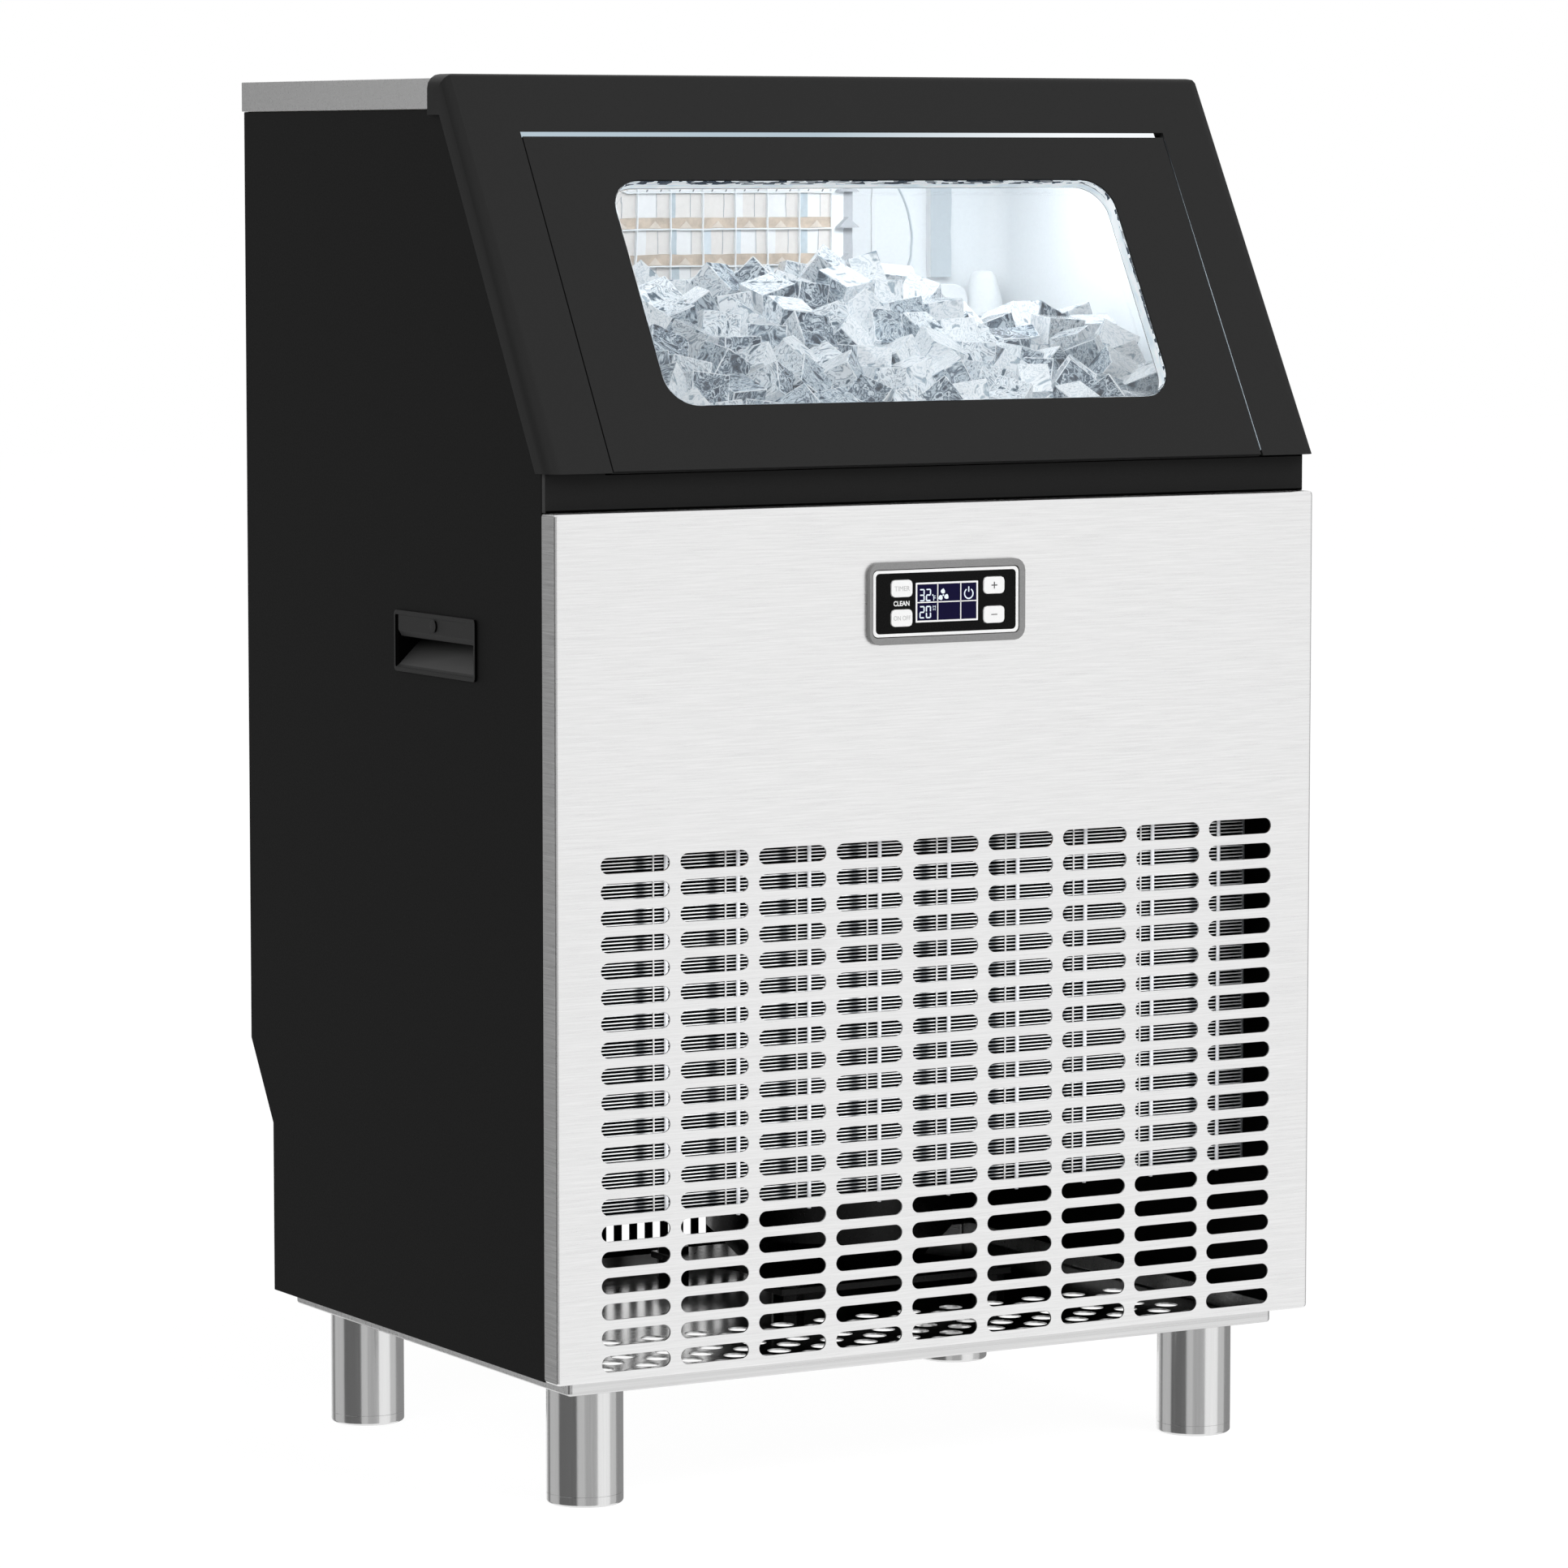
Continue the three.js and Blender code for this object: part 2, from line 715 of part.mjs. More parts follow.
function rearPanel() {
  const x = innerHalfWidth;
  const lowFront = back(rearLowerDepth - panelSheet);
  const lowBack = back(rearLowerDepth);
  const lower = pierced(
    alongY, rectangle(-x, x, up(0), up(rearStepStart)), lowFront, lowBack,
    [...ventOutlines(), ...rearFittingHoles()]);
  const highFront = back(rearUpperDepth - panelSheet);
  const highBack = back(rearUpperDepth);
  const step = alongX([
    [lowFront, up(rearStepStart)],
    [lowBack, up(rearStepStart)],
    [highBack, up(rearStepStart + rearStepRise)],
    [highBack, up(sideTopHeight)],
    [highFront, up(sideTopHeight)],
    [highFront, up(rearStepStart + rearStepRise)],
  ], -x, x);
  return joined(lower, step);
}

// Top panel: steel tray turned down over the sides and the rear, tucked under the hood's cap
function topPanel() {
  const x = halfWidth + topOverhang;
  const front = back(hoodLipDepth + touchGap);
  const rear = back(cabinetDepth);
  const z1 = up(topHeight);
  const z0 = up(topHeight - topSkirt);
  const slab = block(-x, x, front, rear, z0, z1);
  const inside = block(
    -x + panelSheet, x - panelSheet, front - cutOverrun, rear - panelSheet,
    z0 - cutOverrun, z1 - panelSheet);
  const tongueHalf = halfWidth - hoodWall;
  const tongue = block(
    -tongueHalf, tongueHalf, front - topTongue, front, z1 - panelSheet, z1);
  return joined(cut(slab, inside), tongue);
}

// Base pan: shallow tray under the machine bay with staggered round air holes
function panHoles() {
  const outlines = [];
  for (let row = 0; row < panHoleRowCount; row += 1) {
    const y = back(panHoleFirstDepth + row * panHoleRowPitch);
    const shift = (row % 2) * panHolePitch / 2;
    const firstX = -panHolePitch * (panHoleColumnCount - 0.5) / 2 + shift;
    for (let column = 0; column < panHoleColumnCount; column += 1) {
      outlines.push(circle(firstX + column * panHolePitch, y, panHoleRadius, panHoleSides));
    }
  }
  return outlines;
}

function panWall(rear, high) {
  const x = panWidth / 2;
  const front = back(frontPanelDepth);
  const inner = rectangle(-x + panelSheet, x - panelSheet, front + panelSheet, rear - panelSheet);
  return alongZ(rectangle(-x, x, front, rear), up(-panDrop) + panelSheet, high, [inner]);
}

function basePan() {
  const x = panWidth / 2;
  const low = up(-panDrop);
  const outline = rectangle(-x, x, back(frontPanelDepth), back(panRearDepth));
  const floor = pierced(alongZ, outline, low, low + panelSheet, panHoles());
  const tray = panWall(back(panRearDepth), up(-touchGap));
  const flange = panWall(back(rearLowerDepth - panelSheet - touchGap), up(panFlange));
  return joined(floor, tray, flange);
}

// Hood: plastic shell with the doorway, its reveals and the ledge that stops the door
function hoodForm(wall, capWall, halfSpan, flange) {
  const low = hoodLow - (wall > 0 ? cutOverrun : 0);
  const high = hoodHigh - capWall;
  const lipRear = hoodLipDepth + (wall > 0 ? cutOverrun : 0);
  const flangeLine = (height) => (height - hoodLow) * Math.tan(lean) + flange;
  const radius = hoodTopRadius - Math.min(wall, hoodTopRadius / 2);
  const tangent = radius * Math.tan((Math.PI / 2 - lean) / 2);
  const cornerY = slopeDepth(high, wall);
  const arc = new THREE.QuadraticBezierCurve(
    new THREE.Vector2(cornerY - tangent * Math.sin(lean), high - tangent * Math.cos(lean)),
    new THREE.Vector2(cornerY, high),
    new THREE.Vector2(cornerY + tangent, high),
  ).getPoints(hoodEdgeSteps).map((point) => [point.x, point.y]);
  const lipLow = hoodHigh - hoodLipDrop;
  const rear = wall > 0
    ? [[lipRear, high], [lipRear, low]]
    : [[lipRear, high], [lipRear, lipLow], [flangeLine(lipLow), lipLow], [flangeLine(low), low]];
  const side = [...arc, ...rear, [slopeDepth(low, wall), low]]
    .map(([depth, height]) => [back(depth), up(height)]);
  const body = alongX(side, -halfSpan, halfSpan);
  const edge = Math.max(hoodEdgeRadius - wall, hoodEdgeRadius / 2);
  const across = roundedRectangle(
    -halfSpan, halfSpan, -hoodSlantLength, -wall, edge, hoodEdgeSteps);
  const slopeSection = solidOf(prism(across, hoodSlantLength * 2)
    .applyMatrix4(new THREE.Matrix4().makeBasis(axisX, axisZ, axisY.clone().negate()))
    .translate(0, hoodSlantLength * 3 / 2, 0)
    .applyMatrix4(slopeMatrix));
  const topSection = alongY(
    roundedRectangle(-halfSpan, halfSpan, up(0), up(high), edge, hoodEdgeSteps),
    back(-hoodSlantLength), back(hoodSlantLength));
  return body.intersect(slopeSection).intersect(topSection);
}

function hoodFrame() {
  const span = halfWidth + hoodFlare;
  const shell = cut(
    hoodForm(0, 0, span, hoodFlangeDepth),
    hoodForm(hoodWall, hoodCapWall, halfWidth + touchGap, hoodFlangeDepth));
  const revealHalf = doorwayHalfWidth + revealWall;
  const revealTop = doorwayTop + revealWall;
  const reveal = slopeSolid(
    rectangle(-revealHalf, revealHalf, ledgeLow, revealTop),
    -ledgeFront - ledgeWall, -hoodWall + touchGap);
  const throat = slopeSolid(
    rectangle(-doorwayHalfWidth, doorwayHalfWidth, -cutOverrun, doorwayTop),
    -ledgeFront, cutOverrun);
  const mouth = slopeSolid(
    rectangle(
      -ledgeOpeningHalfWidth, ledgeOpeningHalfWidth, ledgeOpeningLow, ledgeOpeningHigh),
    -ledgeFront - cutOverrun, 0);
  const pinHole = hingeBar(revealHalf * 2 + cutOverrun, hingePinRadius + touchGap / 2);
  return cut(joined(shell, reveal), throat, mouth, pinHole);
}

// Hinge axis across the doorway, as a bar centred on the cabinet
function hingeBar(length, radius) {
  const geometry = new THREE.CylinderGeometry(radius, radius, length, hingePinSides);
  geometry.rotateZ(Math.PI / 2);
  geometry.translate(0, hingeSlope, -hingeDepth);
  return solidOf(geometry.applyMatrix4(slopeMatrix));
}

function hingePin(side) {
  const revealOuter = doorwayHalfWidth + revealWall;
  const start = doorwayHalfWidth - hingePinReach;
  const headStart = revealOuter + touchGap;
  const profile = [
    [0, start], [hingePinRadius, start], [hingePinRadius, headStart],
    [hingeHeadRadius, headStart], [hingeHeadRadius, headStart + hingeHeadLength],
    [0, headStart + hingeHeadLength],
  ];
  const geometry = turned(profile, hingePinSides);
  geometry.rotateZ(-side * Math.PI / 2);
  geometry.translate(0, hingeSlope, -hingeDepth);
  return geometry;
}

// Door pieces, drawn in the slope's axes
function windowOutline(grow) {
  return roundedRectangle(
    -windowHalfWidth - grow, windowHalfWidth + grow, windowLow - grow, windowHigh + grow,
    windowRadius + grow, windowSteps);
}

function doorFrame() {
  const plate = solidOf(onSlope(
    roundedRectangle(
      -doorHalfWidth, doorHalfWidth, doorLow, doorHigh, doorCornerRadius, smallCornerSteps),
    -doorPlate, 0, [windowOutline(0)]));
  const half = doorHalfWidth - doorFlangeInset;
  const flange = solidOf(onSlope(
    rectangle(-half, half, doorFlangeLow, doorFlangeHigh), -doorFlangeDepth, -doorPlate,
    [rectangle(
      -half + doorFlangeWall, half - doorFlangeWall,
      doorFlangeLow + doorFlangeWall, doorFlangeHigh - doorFlangeWall)]));
  const bore = new THREE.CylinderGeometry(
    hingePinRadius + hingePinClearance, hingePinRadius + hingePinClearance,
    doorHalfWidth * 2 + cutOverrun, hingePinSides);
  bore.rotateZ(Math.PI / 2);
  bore.translate(0, hingeSlope, -hingeDepth);
  const middle = new THREE.BoxGeometry(
    (half - doorFlangeWall) * 2 - cutOverrun, hingePinRadius * 4, hingePinRadius * 4);
  middle.translate(0, hingeSlope, -hingeDepth);
  return cut(joined(plate, flange), cut(solidOf(bore), solidOf(middle)));
}

function windowPane() {
  const front = solidOf(onSlope(
    windowOutline(-touchGap), -doorPlate - touchGap - paneFlangeThickness, -paneRecess));
  const flange = solidOf(onSlope(
    windowOutline(paneFlange),
    -doorPlate - touchGap - paneFlangeThickness, -doorPlate - touchGap));
  return joined(front, flange);
}

function doorBackFrame() {
  const half = doorHalfWidth - doorFlangeInset - doorFlangeWall - touchGap;
  const outer = -doorPlate - paneFlangeThickness - touchGap * 2;
  return onSlope(
    rectangle(
      -half, half, doorFlangeLow + doorFlangeWall + touchGap,
      hingeSlope - hingePinRadius - hingePinClearance - touchGap),
    outer - backFrameThickness, outer, [windowOutline(backFrameOpening)]);
}

function doorGasket() {
  const half = doorHalfWidth - doorFlangeInset;
  const inner = half - gasketWidth;
  const front = -doorFlangeDepth - touchGap;
  return onSlope(
    rectangle(-half, half, doorFlangeLow, doorFlangeHigh - gasketTopInset),
    front - gasketThickness, front,
    [rectangle(-inner, inner, doorFlangeLow + gasketWidth, doorFlangeHigh - gasketWidth)]);
}

// Outline moved outwards by a distance, corner by corner
function grown(points, distance) {
  const corners = pointList(points);
  return corners.map((corner, index) => {
    const before = corners[(index + corners.length - 1) % corners.length];
    const after = corners[(index + 1) % corners.length];
    const enter = corner.clone().sub(before).normalize();
    const leave = after.clone().sub(corner).normalize();
    const outEnter = new THREE.Vector2(enter.y, -enter.x);
    const outLeave = new THREE.Vector2(leave.y, -leave.x);
    const middle = outEnter.add(outLeave).normalize();
    const reach = distance / middle.dot(outLeave);
    return [corner.x + middle.x * reach, corner.y + middle.y * reach];
  });
}

// Bin liner: one moulded shell, open at the slanted mouth
const slopePoint = (slope, inset) => [
  back(slope * Math.sin(lean) + inset * Math.cos(lean)),
  up(hoodLow + slope * Math.cos(lean) - inset * Math.sin(lean)),
];

function binOutline(grow) {
  const sillInset = (binFrontDepth - binMouthLow * Math.sin(lean)) / Math.cos(lean);
  const ahead = -cutOverrun;
  return grown([
    [back(binFrontDepth), up(binFloor)],
    [back(binRearDepth), up(binFloor)],
    [back(binRearDepth), up(binCeiling)],
    [back(binHeaderDepth), up(binCeiling)],
    slopePoint(binMouthHigh, binMouthDepth + linerWall),
    slopePoint(binMouthHigh, ahead),
    slopePoint(binMouthLow, ahead),
    slopePoint(binMouthLow, sillInset),
  ], grow);
}

// Everything in front of a plane at a depth under the slope
function aheadOfSlope(inset) {
  const span = cabinetWidth;
  return slopeSolid(rectangle(-span, span, -span, span), -inset, span);
}

function binLiner() {
  const shell = alongX(
    binOutline(linerWall), -binHalfWidth - linerWall, binHalfWidth + linerWall);
  const hollow = alongX(binOutline(0), -binHalfWidth, binHalfWidth);
  const cap = turnedAlong(
    disc(linerDiscRadius, 0, linerDiscRise + linerWall / 2), roundSteps,
    axisY.clone().negate(), linerDiscX, back(binRearDepth + linerWall / 2),
    up(linerDiscHeight));
  return cut(joined(cut(shell, hollow), cap), aheadOfSlope(binMouthDepth));
}

// Insulation round the liner, with pockets for the handles and the control panel
function insulation() {
  const front = frontPanelDepth + touchGap * 3;
  const slant = ledgeFront + ledgeWall + touchGap;
  const slantStart = hoodLow + touchGap;
  const outline = [
    [front, deckHeight + panelSheet + touchGap],
    [foamRearDepth, deckHeight + panelSheet + touchGap],
    [foamRearDepth, foamTopHeight],
    [slopeDepth(foamTopHeight, slant), foamTopHeight],
    [slopeDepth(slantStart, slant), slantStart],
    [neckDepth + touchGap, slantStart],
    [neckDepth + touchGap, frontPanelHeight - touchGap],
    [front, frontPanelHeight - touchGap],
  ].map(([depth, height]) => [back(depth), up(height)]);
  const half = innerHalfWidth - touchGap;
  const foam = alongX(outline, -half, half);
  const linerSpace = alongX(
    binOutline(linerWall + touchGap),
    -binHalfWidth - linerWall - touchGap, binHalfWidth + linerWall + touchGap);
  const pocketDepth = displayHousingDepth + touchGap * 3;
  const displayPocket = block(
    -housingHalfWidth - touchGap, housingHalfWidth + touchGap, back(0), back(pocketDepth),
    up(displayCentre) - housingHalfHeight - touchGap,
    up(displayCentre) + housingHalfHeight + touchGap);
  return cut(foam, linerSpace, displayPocket, handlePocket(-1), handlePocket(1));
}

function handlePocket(side) {
  const deep = side * (halfWidth - handleTub - handleWall - touchGap);
  const far = side * (halfWidth + cutOverrun);
  const rim = handleRim - handleWall - touchGap;
  return block(
    Math.min(deep, far), Math.max(deep, far),
    back(handleFrontDepth + rim), back(handleFrontDepth + handleLength - rim),
    up(handleLow + rim), up(handleLow + handleHeight - rim));
}

// Deck that carries the insulated bin over the machine bay
function machineDeck() {
  const half = innerHalfWidth;
  return block(
    -half, half, back(frontPanelDepth + touchGap * 3), back(foamRearDepth),
    up(deckHeight), up(deckHeight + panelSheet));
}

// Evaporator: grid of cells on a plate, with its refrigerant coil behind
const evaporatorLeft = evaporatorRight - cellColumnCount * cellPitch - cellWall;
const evaporatorLow = evaporatorTop - cellRowCount * cellRise - cellWall;
const plateFrontDepth = evaporatorFrontDepth + cellDepth;

function evaporatorGrid() {
  const cells = [];
  for (let row = 0; row < cellRowCount; row += 1) {
    for (let column = 0; column < cellColumnCount; column += 1) {
      const x = evaporatorLeft + cellWall + column * cellPitch;
      const z = evaporatorLow + cellWall + row * cellRise;
      cells.push(rectangle(
        x, x + cellPitch - cellWall, up(z), up(z + cellRise - cellWall)));
    }
  }
  return pierced(
    alongY, rectangle(evaporatorLeft, evaporatorRight, up(evaporatorLow), up(evaporatorTop)),
    back(evaporatorFrontDepth), back(plateFrontDepth), cells);
}

function evaporatorPlate() {
  const y0 = back(plateFrontDepth);
  const y1 = y0 + evaporatorPlateThickness;
  const sheetPart = block(
    evaporatorLeft, evaporatorRight, y0, y1, up(evaporatorLow), up(evaporatorTop));
  const earHeight = cellRise;
  const ear = (x0, x1) => block(
    x0, x1, y0, back(binRearDepth - linerDiscRise - touchGap),
    up(evaporatorTop) - earHeight, up(evaporatorTop));
  return joined(
    sheetPart,
    ear(evaporatorLeft, evaporatorLeft + evaporatorPlateThickness),
    ear(evaporatorRight - evaporatorPlateThickness, evaporatorRight));
}

function evaporatorCoil() {
  const y = back(plateFrontDepth) + evaporatorPlateThickness + coilRadius + touchGap;
  const left = evaporatorLeft + cellPitch;
  const right = evaporatorRight - cellPitch;
  const runPitch = (evaporatorTop - evaporatorLow - cellRise * 2) / (coilRunCount - 1);
  const corners = [];
  for (let run = 0; run < coilRunCount; run += 1) {
    const z = up(evaporatorLow + cellRise + run * runPitch);
    const ends = run % 2 === 0 ? [left, right] : [right, left];
    corners.push(new THREE.Vector3(ends[0], y, z), new THREE.Vector3(ends[1], y, z));
  }
  return bentBar(corners, coilRadius, refrigerantTubeBend / 2, coilSides, cornerSteps);
}

function waterDistributor() {
  const radius = distributorRadius;
  return turnedAlong(
    disc(radius, evaporatorLeft - distributorOverhang, riserLeftX - touchGap),
    distributorSides, axisX, 0, back(plateFrontDepth - radius),
    up(evaporatorTop) + radius + touchGap);
}

// Water parts under and beside the evaporator
const troughHigh = evaporatorLow - touchGap;
const troughLow = troughHigh - troughHeight;

function waterTrough() {
  const x0 = evaporatorLeft;
  const x1 = floatX + floatBaseRadius;
  const y0 = back(evaporatorFrontDepth - troughFrontInset);
  const y1 = back(binRearDepth - touchGap);
  const body = block(x0, x1, y0, y1, up(troughLow), up(troughHigh));
  const inside = block(
    x0 + troughWall, pumpLeftX - touchGap, y0 + troughWall, y1 - troughWall,
    up(troughLow + troughWall), up(troughHigh + cutOverrun));
  return cut(body, inside);
}

function pumpHousing() {
  const x0 = pumpLeftX;
  const x1 = pumpLeftX + pumpWidth;
  const y0 = back(pumpFrontDepth);
  const y1 = back(binRearDepth - touchGap);
  const outline = [
    [x0, up(troughHigh + touchGap)], [x1, up(troughHigh + touchGap)],
    ...quarterArc(
      x1 - pumpRadius, up(pumpTopHeight) - pumpRadius, pumpRadius, 0, cornerSteps),
    [x0, up(pumpTopHeight)],
  ];
  return alongY(outline, y0, y1);
}

function waterRiser() {
  const x0 = riserLeftX;
  const y1 = back(binRearDepth - touchGap);
  const y0 = y1 - riserDepth;
  const duct = block(
    x0, x0 + riserWidth, y0, y1, up(pumpTopHeight + touchGap), up(binCeiling - touchGap));
  const armLow = up(evaporatorTop + touchGap);
  const armHigh = armLow + distributorRadius * 2;
  const arm = block(
    x0, x0 + riserWidth, back(plateFrontDepth - distributorRadius * 2), y0 + riserDepth / 2,
    armLow, armHigh);
  return joined(duct, arm);
}

function floatCover() {
  const low = up(troughHigh + touchGap);
  const high = up(floatTopHeight);
  const profile = [
    [0, low], [floatBaseRadius, low], [floatBaseRadius, high - floatTaper],
    [floatTopRadius, high - floatTopRadius / 2], [floatTopRadius / 2, high], [0, high],
  ];
  return turnedAlong(profile, roundSteps, axisZ, floatX, back(floatCentreDepth), 0);
}

// Heap of ice: a sloping bed with tumbled cubes standing out of its top
function iceBedHeight(share) {
  return iceFrontHeight + (iceBackHeight - iceFrontHeight) * share;
}

function iceHeap() {
  const low = binFloor + iceGap / 2;
  const outline = [
    [iceFrontDepth, low], [iceRearDepth, low], [iceRearDepth, iceBedHeight(1) - iceBedDrop],
    [iceFrontDepth, binFloor + (hoodLow - binFloor) * iceFrontShare],
  ].map(([depth, height]) => [back(depth), up(height)]);
  let heap = alongX(outline, -iceHalfWidth, iceHalfWidth);
  for (let row = 0; row < iceRowCount; row += 1) {
    for (let column = 0; column < iceColumnCount; column += 1) {
      heap = heap.add(iceCube(row, column, row * iceRowTurnShare + column * iceColumnTurnShare));
    }
  }
  return heap;
}

// One tumbled cube on the slope of the heap
function iceCube(row, column, turn) {
  const shareX = (column + 0.5 + iceShiftShare * Math.sin(turn * iceWaveShares[0])) / iceColumnCount;
  const shareY = (row + 0.5 + iceShiftShare * Math.sin(turn * iceWaveShares[1])) / iceRowCount;
  const depth = iceFrontDepth + cubeSize + iceSpanY * shareY;
  const slope = (iceBackHeight - iceBedDrop - hoodLow) / (iceRearDepth - iceFrontDepth);
  const rise = slope * (depth - iceFrontDepth);
  const lift = cubeSize * (iceLiftShare * Math.sin(turn * iceWaveShares[2]) - iceSinkShare);
  const cube = new THREE.BoxGeometry(cubeSize, cubeSize, cubeSize);
  cube.rotateX(turn * iceTurnShares[0]);
  cube.rotateY(turn * iceTurnShares[1]);
  cube.rotateZ(turn * iceTurnShares[2]);
  cube.translate(iceSpanX * (shareX - 0.5), back(depth), up(hoodLow + rise) + lift);
  return solidOf(cube);
}

// Condenser: stacked fins between end plates, upright tubes in front of them
function condenserFins() {
  const gaps = [];
  const finPitch = (condenserHigh - condenserLow - condenserFin) / (condenserFinCount - 1);
  for (let index = 0; index < condenserFinCount - 1; index += 1) {
    const z = condenserLow + condenserFin + index * finPitch;
    gaps.push(rectangle(
      condenserLeft + condenserEndPlate, condenserRight - condenserEndPlate,
      up(z), up(z + finPitch - condenserFin)));
  }
  return pierced(
    alongY, rectangle(condenserLeft, condenserRight, up(condenserLow), up(condenserHigh)),
    back(condenserFrontDepth), back(condenserFrontDepth + condenserDepth), gaps);
}

function condenserTubes() {
  const high = deckHeight - touchGap;
  const low = high - condenserHeader;
  const points = [[condenserRight, up(low)], [condenserRight, up(high)],
    [condenserLeft, up(high)], [condenserLeft, up(low)]];
  for (let index = 0; index < condenserTubeCount; index += 1) {
    const x = condenserTubeFirst + index * condenserTubePitch;
    const half = condenserTubeWidth / 2;
    points.push([x - half, up(low)], [x - half, up(condenserTubeLow)],
      [x + half, up(condenserTubeLow)], [x + half, up(low)]);
  }
  const front = condenserFrontDepth - touchGap - condenserTubeDepth;
  return alongY(points, back(front), back(condenserFrontDepth - touchGap));
}

// Fan behind the condenser
const shroudFront = condenserFrontDepth + condenserDepth + touchGap;

function fanShroud() {
  const y0 = back(shroudFront);
  const x0 = fanX - shroudHalfWidth;
  const x1 = fanX + shroudHalfWidth;
  const outline = rectangle(x0, x1, up(condenserLow), up(deckHeight - touchGap));
  const inside = rectangle(
    x0 + shroudThickness, x1 - shroudThickness, up(condenserLow + shroudThickness),
    up(deckHeight - touchGap - shroudThickness));
  const wall = alongY(outline, y0, y0 + shroudDepth, [inside]);
  const face = alongY(
    outline, y0 + shroudDepth, y0 + shroudDepth + shroudThickness,
    [circle(fanX, up(fanHeight), fanOpeningRadius, roundSteps)]);
  return joined(wall, face);
}

const shroudRear = shroudFront + shroudDepth + shroudThickness;
const fanPlaneDepth = shroudRear - fanSetback;

function fanRotor() {
  const hub = solidOf(turned(
    disc(fanHubRadius, -fanHubDepth / 2, fanHubDepth / 2), roundSteps / 2));
  let rotor = hub;
  for (let index = 0; index < fanBladeCount; index += 1) {
    const angle = index / fanBladeCount * 2 * Math.PI;
    const blade = prism(
      bladeShares.map(([a, b]) => [a * fanRadius, b * fanRadius]), fanBladeThickness);
    blade.translate(0, 0, -fanBladeThickness / 2);
    blade.rotateX(THREE.MathUtils.degToRad(fanBladeTwistDegrees));
    blade.rotateX(Math.PI / 2);
    blade.rotateY(angle);
    rotor = rotor.add(solidOf(blade));
  }
  const shaft = turned(
    disc(fanShaftRadius, 0, fanSetback), distributorSides);
  return rotor.add(solidOf(shaft));
}

function fanMotor() {
  const y0 = back(shroudRear + touchGap);
  const can = turnedAlong(
    disc(motorRadius, 0, motorLength), roundSteps, axisY, fanX, y0, up(fanHeight));
  const half = motorArmWidth / 2;
  const reach = shroudHalfWidth - touchGap;
  const arm = block(
    fanX - reach, fanX + reach, y0, y0 + motorArmThickness,
    up(fanHeight) - half, up(fanHeight) + half);
  return joined(can, arm);
}

// Compressor on its feet
const panFloor = panelSheet - panDrop;
const compressorLow = panFloor + grommetHeight;

function compressorShell() {
  const low = compressorLow + compressorFootThickness + touchGap;
  const high = low + compressorHeight;
  const shoulder = high - compressorDomeRise;
  const dome = [];
  for (let index = 1; index < compressorDomeSteps; index += 1) {
    const angle = index / compressorDomeSteps * Math.PI / 2;
    dome.push([
      compressorRadius * Math.cos(angle), up(shoulder + compressorDomeRise * Math.sin(angle))]);
  }
  const profile = [
    [0, up(low)], [compressorRadius * compressorBottomShare, up(low)],
    [compressorRadius, up(low) + compressorDomeRise / 2],
    [compressorRadius, up(shoulder)], ...dome, [0, up(high)],
  ];
  return turnedAlong(
    profile, roundSteps, axisZ, compressorX, back(compressorCentreDepth), 0);
}

function compressorBase() {
  const half = compressorFootSpan / 2;
  const low = up(compressorLow);
  const y = back(compressorCentreDepth);
  let base = block(
    compressorX - half, compressorX + half, y - half, y + half,
    low, low + compressorFootThickness);
  const notch = half * footNotchShare;
  for (const side of [-1, 1]) {
    base = cut(base, alongZ(
      circle(compressorX + side * half * footNotchPlaceShare, y, notch, roundSteps),
      low - cutOverrun, low + cutOverrun));
  }
  for (const sideX of [-1, 1]) {
    for (const sideY of [-1, 1]) {
      const inset = half - grommetRadius;
      base = joined(base, turnedAlong(
        disc(grommetRadius, up(panFloor), low + compressorFootThickness * 2),
        refrigerantTubeSides, axisZ, compressorX + sideX * inset, y + sideY * inset, 0));
    }
  }
  return base;
}

function filterDrier() {
  const radius = drierRadius;
  const low = condenserLow + drierLength * drierLiftShare;
  const profile = [
    [0, up(low)], [refrigerantTubeRadius, up(low)], [radius, up(low) + radius],
    [radius, up(low + drierLength) - radius], [refrigerantTubeRadius, up(low + drierLength)],
    [0, up(low + drierLength)],
  ];
  const body = turnedAlong(profile, distributorSides, axisZ, drierX, back(drierDepth), 0);
  const strap = block(
    drierX - radius - drierClip, drierX + radius + drierClip,
    back(drierDepth) - radius - drierClip, back(drierDepth) + radius + drierClip,
    up(low + drierLength / 2) - drierClip * 2, up(low + drierLength / 2) + drierClip * 2);
  const hanger = block(
    drierX + radius, drierX + radius + drierClip,
    back(drierDepth) - drierClip * 2, back(drierDepth) + drierClip * 2,
    up(low + drierLength / 2), up(deckHeight - touchGap));
  return joined(body, strap, hanger);
}

function controlBox() {
  const x0 = controlBoxLeft + touchGap;
  return alongZ(
    roundedRectangle(
      x0, x0 + controlBoxWidth, back(controlBoxFront), back(controlBoxFront + controlBoxDepth),
      controlBoxRadius, smallCornerSteps),
    up(deckHeight - touchGap - controlBoxHeight), up(deckHeight - touchGap));
}

